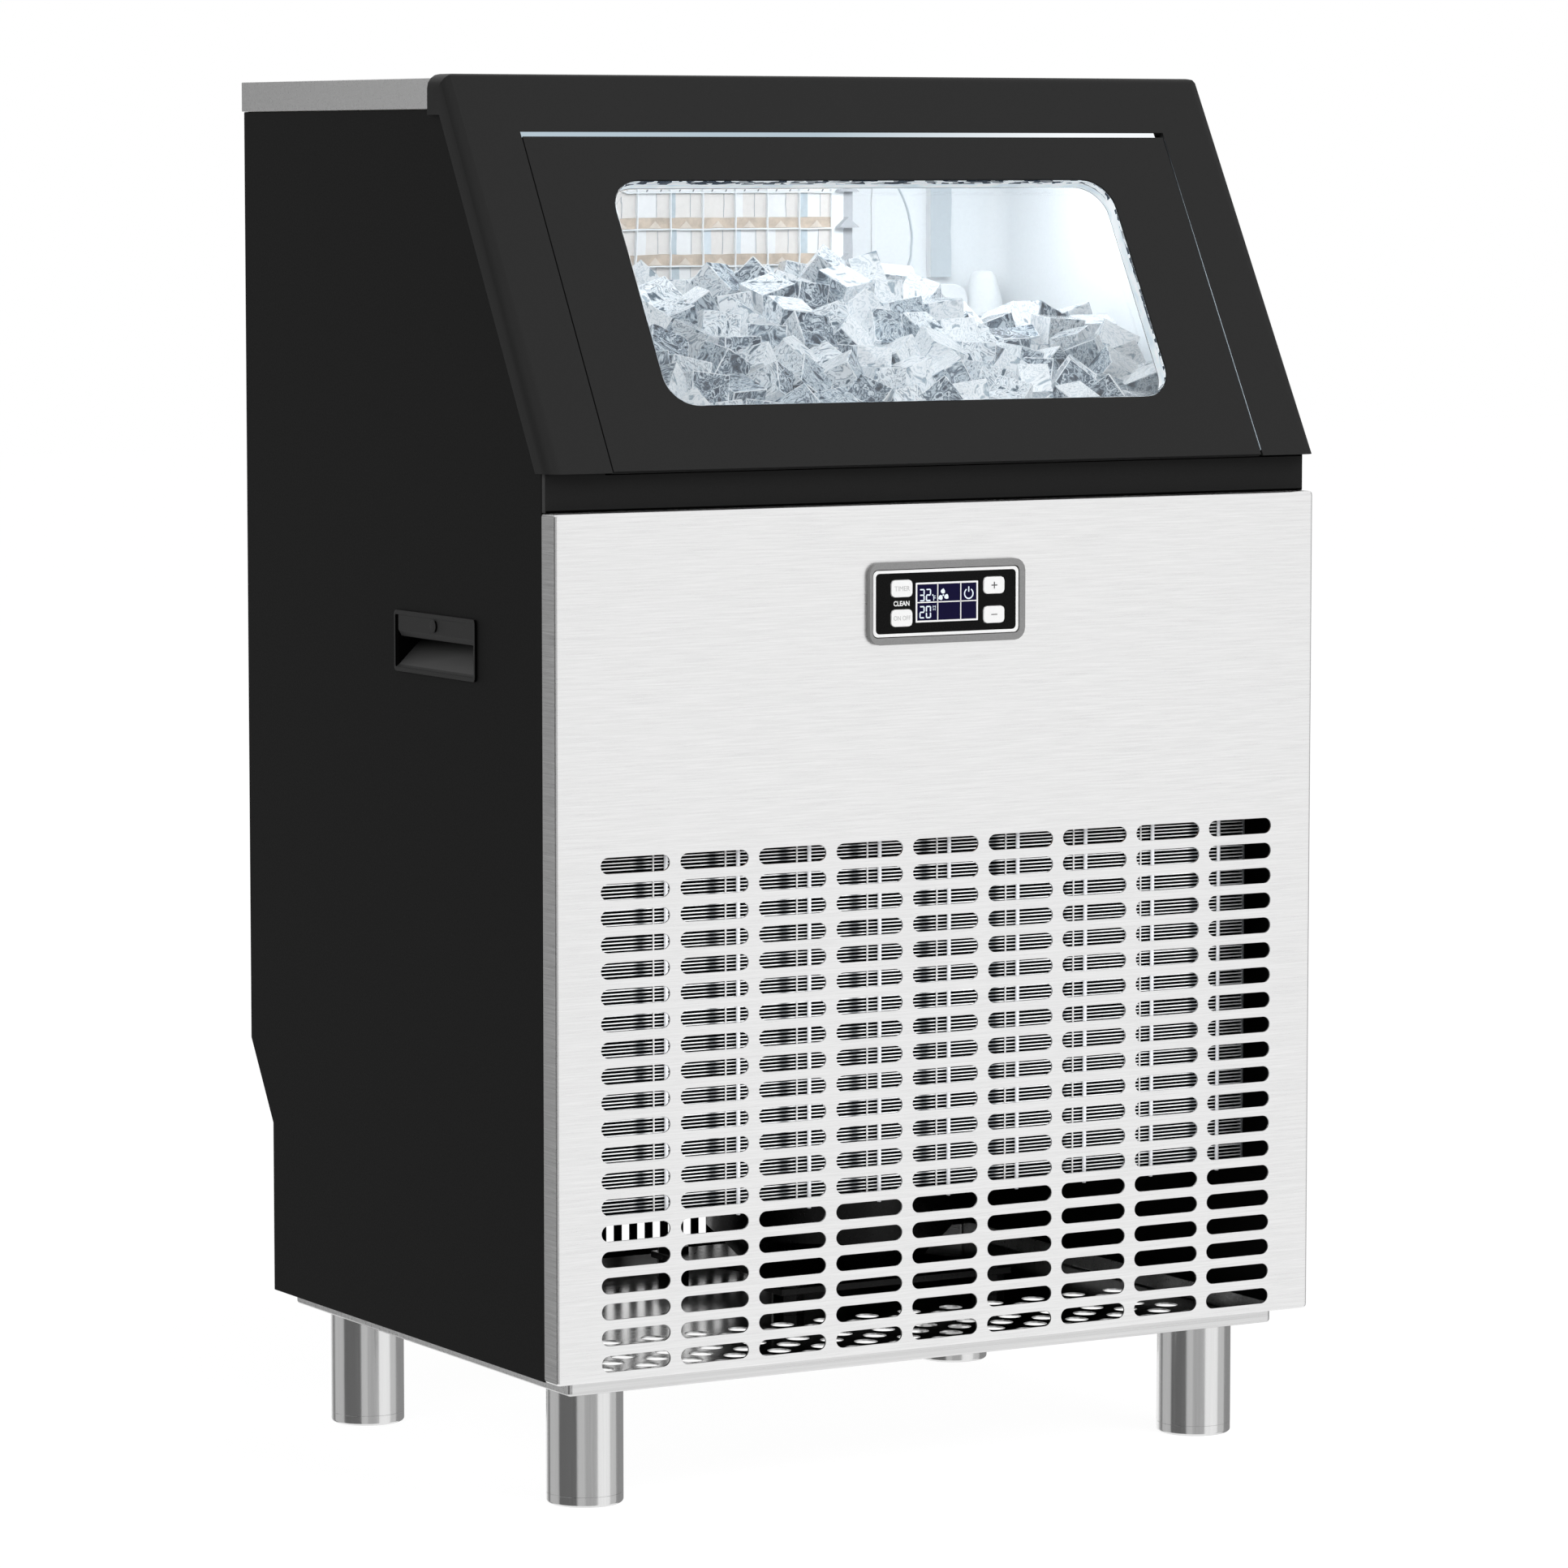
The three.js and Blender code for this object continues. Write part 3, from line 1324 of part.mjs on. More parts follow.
// Refrigerant tube from the compressor's top to the condenser's rear
function dischargeTube() {
  const top = compressorLow + compressorFootThickness + touchGap + compressorHeight;
  const high = deckHeight - refrigerantTubeRadius - touchGap * 4;
  const y0 = back(compressorCentreDepth);
  const x = compressorX;
  const end = back(shroudFront) + touchGap;
  return bentBar([
    new THREE.Vector3(x, y0, up(top + touchGap)),
    new THREE.Vector3(x, y0, up(high)),
    new THREE.Vector3(x, end + refrigerantTubeBend * 2, up(high)),
    new THREE.Vector3(x, end + refrigerantTubeBend * 2, up(high - dischargeDrop)),
    new THREE.Vector3(x, end, up(high - dischargeDrop)),
  ], refrigerantTubeRadius, refrigerantTubeBend, refrigerantTubeSides, cornerSteps);
}

// Fittings at the rear: water inlet, drain and the cord's inlet
function fitting(x, radius, bore, length) {
  const start = back(rearLowerDepth + touchGap);
  const inner = back(rearLowerDepth - panelSheet - touchGap - fittingFlangeThickness);
  const profile = bore > 0
    ? [[bore, 0], [radius, 0], [radius, length], [bore, length], [bore, 0]]
    : disc(radius, 0, length);
  const inside = start - inner;
  const body = turnedAlong(
    profile.map(([r, h]) => [r, h === 0 ? -inside : h]), roundSteps / 2,
    axisY, x, start, up(fittingHeight));
  const flange = turnedAlong(
    ring(
      Math.max(bore, radius / 2), radius + fittingFlange,
      -inside, -inside + fittingFlangeThickness),
    roundSteps / 2, axisY, x, start, up(fittingHeight));
  return joined(body, flange);
}

// Side handle: rim outside the sheet, finger tub through it
function sideHandle(side) {
  const y0 = back(handleFrontDepth);
  const y1 = back(handleFrontDepth + handleLength);
  const z0 = up(handleLow);
  const z1 = up(handleLow + handleHeight);
  const outer = halfWidth + handleProud;
  const rim = alongX(
    roundedRectangle(y0, y1, z0, z1, handleCornerRadius, cornerSteps),
    halfWidth + touchGap / 3, outer);
  const clear = handleRim;
  const tub = block(
    halfWidth - handleTub - handleWall, outer - handleProud / 2,
    y0 + clear, y1 - clear, z0 + clear, z1 - clear);
  const gripLow = z1 - handleHeight * handleGripShare;
  const hollow = alongX([
    [y0 + clear + handleWall, z0 + clear + handleWall],
    [y1 - clear - handleWall, z0 + clear + handleWall],
    [y1 - clear - handleWall, gripLow],
    [y0 + clear + handleWall, gripLow],
  ], halfWidth - handleTub, outer + cutOverrun);
  const reach = block(
    halfWidth - handleTub, halfWidth - handleWall, y0 + clear + handleWall,
    y1 - clear - handleWall, z0 + clear + handleWall, z1 - clear - handleWall);
  const boss = turnedAlong(
    disc(handleBossRadius, 0, handleProud), distributorSides, axisX,
    outer - handleProud / 2, (y0 + y1) / 2, (gripLow + z1) / 2);
  const handle = joined(cut(joined(rim, tub), hollow, reach), boss);
  return side > 0 ? handle : handle.mirror([1, 0, 0]);
}

// Control panel pieces
const plateFront = back(-bezelProud) + displayRecess;
const plateHalfWidth = housingHalfWidth - touchGap;
const plateHalfHeight = housingHalfHeight - touchGap;
const buttonPlaces = [
  ["timer", buttonLeftX, 1], ["power", buttonLeftX, -1],
  ["plus", buttonRightX, 1], ["minus", buttonRightX, -1],
].map(([name, x, side]) => ({ name, x, z: up(displayCentre) + side * buttonSpacing / 2 }));

function displayBezel() {
  const z = up(displayCentre);
  return alongY(
    roundedRectangle(
      -bezelWidth / 2, bezelWidth / 2, z - bezelHeight / 2, z + bezelHeight / 2,
      bezelRadius, cornerSteps),
    back(-bezelProud), back(0), [roundedRectangle(
      -housingHalfWidth, housingHalfWidth, z - housingHalfHeight, z + housingHalfHeight,
      bezelRadius - bezelRing, cornerSteps)]);
}

function displayPanel() {
  const z = up(displayCentre);
  const holes = buttonPlaces.map((place) => roundedRectangle(
    place.x - buttonWidth / 2 - buttonGap, place.x + buttonWidth / 2 + buttonGap,
    place.z - buttonHeight / 2 - buttonGap, place.z + buttonHeight / 2 + buttonGap,
    buttonRadius + buttonGap, smallCornerSteps));
  holes.push(rectangle(
    screenLeft - touchGap, screenLeft + screenWidth + touchGap,
    z - screenHeight / 2 - touchGap, z + screenHeight / 2 + touchGap));
  const outline = roundedRectangle(
    -plateHalfWidth, plateHalfWidth, z - plateHalfHeight, z + plateHalfHeight,
    bezelRadius - bezelRing - touchGap, cornerSteps);
  return pierced(alongY, outline, plateFront, plateFront + displayPlate, holes);
}

function displayScreen() {
  const z = up(displayCentre);
  return block(
    screenLeft, screenLeft + screenWidth, plateFront, plateFront + screenThickness,
    z - screenHeight / 2, z + screenHeight / 2);
}

function displayHousing() {
  const z = up(displayCentre);
  const y0 = back(touchGap);
  const y1 = back(displayHousingDepth);
  const outer = rectangle(
    -plateHalfWidth, plateHalfWidth, z - plateHalfHeight, z + plateHalfHeight);
  const wall = displayHousingWall;
  const inner = rectangle(
    -plateHalfWidth + wall, plateHalfWidth - wall,
    z - plateHalfHeight + wall, z + plateHalfHeight - wall);
  return joined(
    alongY(outer, y0, y1 - wall, [inner]),
    alongY(outer, y1 - wall, y1));
}

const boardFront = plateFront + displayPlate + buttonTravel + buttonFlangeThickness + boardGap;

function controlBoard() {
  const z = up(displayCentre);
  const inset = displayHousingWall + touchGap;
  const plate = block(
    -plateHalfWidth + inset, plateHalfWidth - inset, boardFront, boardFront + boardThickness,
    z - plateHalfHeight + inset, z + plateHalfHeight - inset);
  const screenSeat = block(
    screenLeft + inset, screenLeft + screenWidth - inset,
    plateFront + screenThickness + touchGap, boardFront,
    z - screenHeight / 2 + inset, z + screenHeight / 2 - inset);
  return joined(plate, screenSeat);
}

// Push button: cap through the plate with a flange behind it, drawn round its own middle
function pushButton() {
  const cap = alongY(
    roundedRectangle(
      -buttonWidth / 2, buttonWidth / 2, -buttonHeight / 2, buttonHeight / 2, buttonRadius,
      smallCornerSteps),
    displayRecess - buttonProud, displayRecess + displayPlate + buttonGap);
  const flange = alongY(
    rectangle(
      -buttonWidth / 2 - buttonFlange, buttonWidth / 2 + buttonFlange,
      -buttonHeight / 2 - buttonFlange, buttonHeight / 2 + buttonFlange),
    displayRecess + displayPlate + buttonGap,
    displayRecess + displayPlate + buttonGap + buttonFlangeThickness);
  return joined(cap, flange);
}

// Leg tube and the levelling foot that slides out of it, drawn round their own axis
function legTube() {
  const inner = legRadius - legWall;
  const nut = legHeight - footNutHeight;
  const bore = footStemRadius + touchGap;
  return turned([
    [inner, 0], [legRadius, 0], [legRadius, legHeight], [bore, legHeight],
    [bore, nut], [inner, nut], [inner, 0],
  ], roundSteps);
}

function levellingFoot() {
  const top = footHeight - touchGap;
  return turned([
    [0, 0], [footRadius - footRounding, 0], [footRadius, footRounding], [footRadius, top],
    [footStemRadius, top], [footStemRadius, footHeight + footStemLength + footNutHeight],
    [0, footHeight + footStemLength + footNutHeight],
  ], roundSteps);
}

// Assembly
const machine = new THREE.Group();
const add = (name, shape, material, parent = machine) => {
  const mesh = named(name, shape, material);
  parent.add(mesh);
  return mesh;
};

add("base_pan", basePan(), looks.brushedSteel);
add("front_panel", frontPanel(), looks.brushedSteel);
add("neck_panel", neckPanel(), looks.blackSheet);
add("left_side_panel", sidePanel(-1), looks.blackSheet);
add("right_side_panel", sidePanel(1), looks.blackSheet);
add("rear_panel", rearPanel(), looks.blackSheet);
add("top_panel", topPanel(), looks.brushedSteel);
add("hood_frame", hoodFrame(), looks.blackPlastic);
add("bin_insulation", insulation(), looks.foam);
add("bin_liner", binLiner(), looks.whitePlastic);
add("machine_deck", machineDeck(), looks.galvanised);

add("evaporator_grid", evaporatorGrid(), looks.whitePlastic);
add("evaporator_plate", evaporatorPlate(), looks.copper);
add("evaporator_coil", evaporatorCoil(), looks.copper);
add("water_distributor", waterDistributor(), looks.whitePlastic);
add("water_trough", waterTrough(), looks.whitePlastic);
add("pump_housing", pumpHousing(), looks.whitePlastic);
add("water_riser", waterRiser(), looks.whitePlastic);
add("float_cover", floatCover(), looks.whitePlastic);
add("ice_heap", iceHeap(), looks.ice);

add("condenser_fins", condenserFins(), looks.aluminium);
add("condenser_tubes", condenserTubes(), looks.aluminium);
add("fan_shroud", fanShroud(), looks.galvanised);
add("fan_motor", fanMotor(), looks.galvanised);
const rotor = add("fan_rotor", fanRotor(), looks.blackPlastic);
rotor.position.set(fanX, back(fanPlaneDepth), up(fanHeight));
add("compressor", compressorShell(), looks.compressorPaint);
add("compressor_base", compressorBase(), looks.galvanised);
add("filter_drier", filterDrier(), looks.copper);
add("control_box", controlBox(), looks.greyPlastic);
add("discharge_tube", dischargeTube(), looks.copper);

add("water_inlet", fitting(valveX, valveRadius, 0, valveLength), looks.whitePlastic);
add("drain_outlet", fitting(drainX, drainRadius, drainBore, drainLength), looks.whitePlastic);
add("cord_gland", fitting(glandX, glandRadius, glandBore, glandLength), looks.blackPlastic);
add("left_handle", sideHandle(-1), looks.blackPlastic);
add("right_handle", sideHandle(1), looks.blackPlastic);

add("display_bezel", displayBezel(), looks.greyPlastic);
add("display_panel", displayPanel(), looks.displayBlack);
add("display_screen", displayScreen(), looks.displayBlue);
add("display_housing", displayHousing(), looks.blackPlastic);
add("control_board", controlBoard(), looks.board);
for (const place of buttonPlaces) {
  const button = add(`button_${place.name}`, pushButton(), looks.whitePlastic);
  button.position.set(place.x, back(-bezelProud), place.z);
}

for (const [column, sideX] of [["left", -1], ["right", 1]]) {
  for (const [row, depth] of [["front", legFrontDepth], ["rear", legFrontDepth + legSpacingY]]) {
    const leg = add(`leg_${row}_${column}`, legTube(), looks.satinSteel);
    leg.rotation.x = Math.PI / 2;
    leg.position.set(sideX * legSpacingX / 2, back(depth), footHeight);
    const foot = add(`foot_${row}_${column}`, levellingFoot(), looks.satinSteel);
    foot.rotation.x = Math.PI / 2;
    foot.position.set(sideX * legSpacingX / 2, back(depth), 0);
  }
}

const slope = new THREE.Group();
slope.position.set(0, frontY, up(hoodLow));
slope.rotation.x = Math.PI / 2 - lean;
machine.add(slope);
add("door_frame", doorFrame(), looks.blackPlastic, slope);
add("window_pane", windowPane(), looks.clearAcrylic, slope);
add("door_back_frame", doorBackFrame(), looks.blackPlastic, slope);
add("door_gasket", doorGasket(), looks.rubber, slope);
add("hinge_pin_left", hingePin(-1), looks.satinSteel, slope);
add("hinge_pin_right", hingePin(1), looks.satinSteel, slope);

export default machine;
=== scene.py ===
import json
import math
import random

import bmesh
import bpy
import numpy as np
from mathutils import Matrix, Vector, geometry


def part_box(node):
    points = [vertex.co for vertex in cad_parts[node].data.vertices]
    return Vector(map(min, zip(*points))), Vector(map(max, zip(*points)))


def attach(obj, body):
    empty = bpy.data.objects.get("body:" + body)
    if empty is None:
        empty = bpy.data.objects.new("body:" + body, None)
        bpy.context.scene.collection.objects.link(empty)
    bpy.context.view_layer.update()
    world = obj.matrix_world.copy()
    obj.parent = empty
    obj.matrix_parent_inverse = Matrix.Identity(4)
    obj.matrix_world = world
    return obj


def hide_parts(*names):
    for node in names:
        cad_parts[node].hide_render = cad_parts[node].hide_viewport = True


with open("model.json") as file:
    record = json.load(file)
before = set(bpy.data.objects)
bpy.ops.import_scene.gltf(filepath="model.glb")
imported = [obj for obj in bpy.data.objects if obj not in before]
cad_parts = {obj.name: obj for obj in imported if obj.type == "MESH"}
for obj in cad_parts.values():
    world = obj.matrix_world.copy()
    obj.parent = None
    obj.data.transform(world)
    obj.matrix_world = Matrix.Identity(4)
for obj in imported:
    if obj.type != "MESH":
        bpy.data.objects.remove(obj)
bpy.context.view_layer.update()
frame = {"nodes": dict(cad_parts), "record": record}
nodes = frame["nodes"]
scene = bpy.context.scene

# Camera, solved on the photograph
camera_data = bpy.data.cameras.new("camera")
camera_data.lens = 149.29
camera_data.sensor_width = 36
camera_data.clip_end = 60
camera = bpy.data.objects.new("camera", camera_data)
camera.location = (-1.9125, -3.3123, 0.7510)
looking = Vector((0.498945, 0.861326, -0.095769))
camera.rotation_euler = looking.to_track_quat("-Z", "Y").to_euler()
scene.collection.objects.link(camera)
scene.camera = camera
scene.view_settings.view_transform = "Standard"

# Millimetres, the places of the front panel's face and lower edge, the door's lean
MM = 0.001
FRONT = -193.5
CASE = 77.4
LEAN = math.radians(30)


def back(depth):
    """The place of a depth behind the front panel's face."""
    return FRONT + depth


def up(height):
    """The place of a height over the front panel's lower edge."""
    return CASE + height


# Node materials
def compute(tree, operation, *values):
    """Result of a math node; each value is a number or the output of another node."""
    made = tree.nodes.new("ShaderNodeMath")
    made.operation = operation
    for socket, value in zip(made.inputs, values):
        if isinstance(value, (int, float)):
            socket.default_value = value
        else:
            tree.links.new(value, socket)
    return made.outputs[0]


def remap(tree, value, low, high, start=0.0, end=1.0):
    """The value, taken from the range start to end into the range low to high."""
    made = tree.nodes.new("ShaderNodeMapRange")
    for key, number in (("From Min", start), ("From Max", end), ("To Min", low), ("To Max", high)):
        made.inputs[key].default_value = number
    tree.links.new(value, made.inputs["Value"])
    return made.outputs["Result"]


class Look:
    """A material whose colour, roughness and bump come from procedural nodes."""

    def __init__(self, name, color, rough=0.5, metal=0.0, spec=0.5, **extra):
        self.material = bpy.data.materials.new(name)
        self.material.use_nodes = True
        self.tree = self.material.node_tree
        self.shader = self.tree.nodes["Principled BSDF"]
        values = {"Base Color": (*color, 1), "Roughness": rough, "Metallic": metal,
                  "Specular IOR Level": spec, **extra}
        for key, value in values.items():
            self.shader.inputs[key.replace("_", " ")].default_value = value

    def node(self, kind, **values):
        made = self.tree.nodes.new(kind)
        for key, value in values.items():
            if hasattr(made, key):
                setattr(made, key, value)
            else:
                made.inputs[key].default_value = value
        return made

    def link(self, source, target):
        self.tree.links.new(source, target)

    def spot(self, scale=None, turn=(0, 0, 0)):
        """Object coordinates, scaled and turned where a scale is given."""
        place_at = self.node("ShaderNodeTexCoord").outputs["Object"]
        if scale is None:
            return place_at
        mapping = self.node("ShaderNodeMapping", Scale=scale, Rotation=turn)
        self.link(place_at, mapping.inputs["Vector"])
        return mapping.outputs["Vector"]

    def axis(self, letter):
        split = self.node("ShaderNodeSeparateXYZ")
        self.link(self.spot(), split.inputs["Vector"])
        return split.outputs[letter]

    def noise(self, scale=(1, 1, 1), size=200, detail=3, rough=0.6, turn=(0, 0, 0)):
        texture = self.node("ShaderNodeTexNoise", Scale=size, Detail=detail, Roughness=rough)
        self.link(self.spot(scale, turn), texture.inputs["Vector"])
        return texture.outputs["Fac"]

    def spread(self, value, low, high, start=0.3, end=0.7):
        return remap(self.tree, value, low, high, start, end)

    def ramp(self, value, stops, *sockets):
        """Colours picked by the value from (position, colour) stops, into the named sockets."""
        made = self.node("ShaderNodeValToRGB")
        while len(made.color_ramp.elements) < len(stops):
            made.color_ramp.elements.new(0.5)
        for element, (position, color) in zip(made.color_ramp.elements, stops):
            element.position = position
            element.color = (*color, 1)
        self.link(value, made.inputs["Fac"])
        for socket in sockets:
            self.link(made.outputs["Color"], self.shader.inputs[socket])
        return self.material

    def bump(self, value, height, strength=0.5):
        made = self.node("ShaderNodeBump", Strength=strength, Distance=height)
        self.link(value, made.inputs["Height"])
        self.link(made.outputs["Normal"], self.shader.inputs["Normal"])
        return self.material

    def grain(self, value, dark, light, smoothest, roughest, height):
        """Colour, roughness and bump that follow one grain."""
        self.ramp(value, ((0.3, dark), (0.7, light)), "Base Color")
        self.link(self.spread(value, smoothest, roughest), self.shader.inputs["Roughness"])
        return self.bump(value, height)


def grey(value):
    return (value, value, value)


def brushed(name, light, dark, rough, scale, turn=(0, 0, 0), height=2e-5):
    made = Look(name, grey(light), rough, 1.0)
    fine = made.noise(scale, 1, 4, 0.7, turn)
    return made.grain(fine, grey(dark), grey(light), rough - 0.05, rough + 0.06, height)


def coated(name, color, rough=0.5, spec=0.2, size=900, height=4e-5, vary=0.1, metal=0.0):
    color = color if isinstance(color, tuple) else grey(color)
    made = Look(name, color, rough, metal, spec)
    dark, light = [c * (1 - vary) for c in color], [min(c * (1 + vary), 1) for c in color]
    return made.grain(made.noise(size=size), dark, light, rough - 0.05, rough + 0.07, height)


def acrylic():
    made = Look("clear_acrylic", (0.96, 0.985, 1.0), 0.0, IOR=1.49, Transmission_Weight=1.0)
    return made.bump(made.noise(size=25, detail=2), 0.0004, 0.15)


# Brushed metals: name, light and dark grey, roughness, grain along each axis, its turn and height
BRUSHED = {
    "steel": ("brushed_steel", 0.93, 0.77, 0.30, (28, 900, 1100)),
    # The returns' copy of the steel is darker: painted shade
    "steel_return_shaded": ("brushed_return", 0.68, 0.42, 0.30, (900, 28, 1100)),
    "steel_top": ("brushed_steel_top", 0.77, 0.67, 0.30, (2, 900, 900)),
    "satin": ("satin_steel", 0.80, 0.74, 0.16, (900, 900, 12), (0, 0, 0), 8e-6),
    "pan": ("pan_steel", 0.80, 0.62, 0.30, (3, 500, 500), (0, 0, 0.6)),
    "pan_floor": ("pan_floor_steel", 0.72, 0.50, 0.15, (6, 700, 700), (0, 0, 0.9), 3e-5),
}
# Other finishes: name, colour or grey, roughness, specular level, size and height of the grain,
# how much the colour varies, and how metallic it is
COATED = {
    "sheet": ("black_powder_coat", 0.0060, 0.5, 0.08),
    "hood": ("black_moulding", 0.0148, 0.42, 0.12, 1400),
    "neck": ("neck_coat", 0.0105, 0.4, 0.1),
    "handle": ("handle_plastic", 0.0215, 0.45, 0.16, 1400),
    "handle_shade": ("handle_shadow_side", 0.0015, 0.6, 0.0, 1400),
    "neck_lit_side": ("neck_return", 0.040, 0.45, 0.1, 1400),
    "bezel": ("bezel_plastic", 0.235, 0.4, 0.3, 1600),
    "grey": ("grey_plastic", 0.28, 0.45, 0.4, 1200),
    "white": ("white_moulding", (0.90, 0.93, 0.95), 0.38, 0.4, 500, 2e-5, 0.02),
    "white_shade": ("white_moulding_shade", (0.58, 0.64, 0.68), 0.5, 0.2, 500, 2e-5, 0.02),
    "liner": ("liner_plastic", (0.91, 0.945, 0.97), 0.35, 0.4, 500, 2e-5, 0.015),
    "button": ("button_plastic", 0.84, 0.35, 0.4, 1500, 1e-5, 0.02),
    "foam": ("insulating_foam", (0.69, 0.62, 0.40), 0.9, 0.2, 120, 8e-4, 0.12),
    "zinc": ("galvanised_sheet", (0.42, 0.44, 0.46), 0.42, 0.5, 60, 3e-5, 0.15, 0.9),
    "copper": ("copper_tube", (0.72, 0.36, 0.22), 0.3, 0.5, 200, 1e-5, 0.15, 1.0),
    "motor": ("motor_paint", 0.03, 0.4, 0.4, 700),
    "compressor": ("compressor_enamel", 0.006, 0.3, 0.4, 500),
    "rubber": ("rubber", 0.012, 0.8, 0.2, 800),
    "fin_dark": ("fin_shade", (0.008, 0.010, 0.013), 0.9, 0.0, 300, 1e-5),
    "tube": ("bright_tube", (0.56, 0.57, 0.59), 0.3, 0.4, 200, 1e-5, 0.06, 0.2),
    "tube_grey": ("grey_tube", 0.42, 0.5, 0.2, 200, 1e-5),
    "cell": ("evaporator_cell", (0.80, 0.765, 0.735), 0.35, 0.4, 300, 1e-5, 0.03),
    "cell_white": ("evaporator_cell_white", (0.86, 0.865, 0.87), 0.35, 0.4, 300, 1e-5, 0.02),
    "cell_blue": ("evaporator_cell_blue", (0.68, 0.75, 0.80), 0.35, 0.4, 300, 1e-5, 0.04),
    "cell_grey": ("evaporator_cell_grey", (0.52, 0.60, 0.65), 0.35, 0.4, 200, 1e-5),
    "cell_shade": ("evaporator_cell_shade", (0.72, 0.68, 0.64), 0.35, 0.4, 200, 1e-5, 0.08),
    "seam_grey": ("evaporator_seam", (0.42, 0.45, 0.49), 0.4, 0.3, 300, 1e-5),
    "slot_grey": ("evaporator_slot", (0.20, 0.22, 0.24), 0.5, 0.3, 300, 1e-5),
    "band": ("copper_band", (0.57, 0.47, 0.38), 0.4, 0.3, 150, 2e-5, 0.2),
    "wedge": ("wedge_tin", (0.70, 0.62, 0.54), 0.35, 0.3, 150, 2e-5),
    "end_grey": ("evaporator_end_plastic", (0.42, 0.44, 0.47), 0.4, 0.4, 400, 1e-5, 0.05),
    "black": ("display_black", 0.004, 0.25, 0.06, 1500, 3e-6),
    "navy": ("display_glass", (0.0016, 0.0005, 0.026), 0.2, 0.1, 1500, 3e-6),
    "ink_white": ("print_white", 0.86, 0.5, 0.2, 1500, 3e-6, 0.02),
    "ink_pale": ("print_pale_grey", 0.50, 0.5, 0.2, 1500, 3e-6, 0.02),
    "ink_dark": ("print_dark_grey", 0.10, 0.5, 0.2, 1500, 3e-6, 0.02),
    "lit": ("lit_segment", (0.80, 0.88, 1.0), 0.5, 0.1, 1500, 3e-6, 0.02),
    "board": ("circuit_board", (0.02, 0.12, 0.05), 0.45, 0.4, 300),
    "brass": ("brass_thread", (0.66, 0.50, 0.24), 0.32, 0.5, 300, 1e-5, 0.1, 1.0),
}
# Stops of the ice, painted refraction and reflection: pale areas with thin darker lines between
# them, in four depths for the cubes' faces and one, a painted highlight, for their rounded edges
WHITE_ICE = (0.97, 0.985, 1.0)
PALE_ICE = (0.76, 0.83, 0.88)
ICE_STEPS = (0.36, 0.42, 0.465, 0.49, 0.515, 0.565, 0.60, 0.64)
ICE_TONES = {
    "ice_bright": ((0.36, 0.44, 0.50), WHITE_ICE, WHITE_ICE, (0.60, 0.68, 0.74), WHITE_ICE,
                   WHITE_ICE, (0.60, 0.68, 0.74), WHITE_ICE),
    "ice_light": ((0.05, 0.09, 0.13), PALE_ICE, WHITE_ICE, (0.22, 0.29, 0.36), WHITE_ICE,
                  PALE_ICE, (0.16, 0.22, 0.28), WHITE_ICE),
    "ice_slate": ((0.02, 0.04, 0.07), (0.24, 0.31, 0.37), (0.66, 0.74, 0.80), (0.06, 0.10, 0.14),
                  PALE_ICE, (0.22, 0.29, 0.35), (0.04, 0.06, 0.10), (0.60, 0.68, 0.74)),
    "ice_dark": ((0.012, 0.025, 0.045), (0.08, 0.11, 0.15), (0.50, 0.58, 0.64), (0.02, 0.04, 0.07),
                 (0.10, 0.15, 0.20), PALE_ICE, (0.06, 0.09, 0.13), (0.02, 0.04, 0.07)),
    "ice_edge": ((0.20, 0.27, 0.34), (0.50, 0.58, 0.65), PALE_ICE, WHITE_ICE, WHITE_ICE,
                 WHITE_ICE, WHITE_ICE, PALE_ICE),
}


def swirled(name, colors, size, distortion, clearness, rough):
    """Ice with folded streaks of painted refraction and reflection, different in every cube."""
    made = Look(name, (0.8, 0.86, 0.9), rough, IOR=1.31, Transmission_Weight=clearness)
    island = made.node("ShaderNodeNewGeometry").outputs["Random Per Island"]
    texture = made.node("ShaderNodeTexNoise", noise_dimensions="4D", Scale=size, Detail=4,
                        Roughness=0.5, Distortion=distortion)
    made.link(made.spot(), texture.inputs["Vector"])
    made.link(compute(made.tree, "MULTIPLY", island, 40), texture.inputs["W"])
    made.ramp(texture.outputs["Fac"], tuple(zip(ICE_STEPS, colors)), "Base Color")
    return made.bump(texture.outputs["Fac"], 0.002, 0.4)


def gap_light_look():
    """Painted light along the gap over the door: a strip that glows, brighter towards the right."""
    made = Look("gap_light", grey(0.05), 0.5, 0, 0.2, Emission_Strength=1.0)
    share = made.spread(made.axis("X"), 0, 1, -0.02, 0.15)
    return made.ramp(share, ((0, (0.47, 0.57, 0.64)), (1, (0.93, 0.96, 0.98))), "Emission Color")


def seam_look():
    """Painted light from inside, seen in the side gap: a grey-blue strip, darker towards the top.
    """
    made = Look("seam_strip", grey(0.1), 0.4, 0, 0.3)
    share = made.spread(made.axis("Z"), 0, 1, 0.68, 0.755)
    return made.ramp(share, ((0, (0.46, 0.53, 0.58)), (1, (0.03, 0.033, 0.038))), "Base Color")


def shards_look():
    """Painted reflection on the polished side of the pane: dark blue and white splinters that glow
    a little.
    """
    made = Look("edge_painted_reflection", grey(0.5), 1.0, 0, 0.0, Emission_Strength=0.35)
    cells = made.node("ShaderNodeTexVoronoi", Scale=1.0)
    split = made.node("ShaderNodeSeparateColor")
    made.link(made.spot((190, 330, 300), (0.3, 0.5, 0.6)), cells.inputs["Vector"])
    made.link(cells.outputs["Color"], split.inputs["Color"])
    stops = ((0.35, (0.012, 0.03, 0.055)), (0.8, (0.92, 0.97, 1.0)))
    return made.ramp(split.outputs["Red"], stops, "Base Color", "Emission Color")


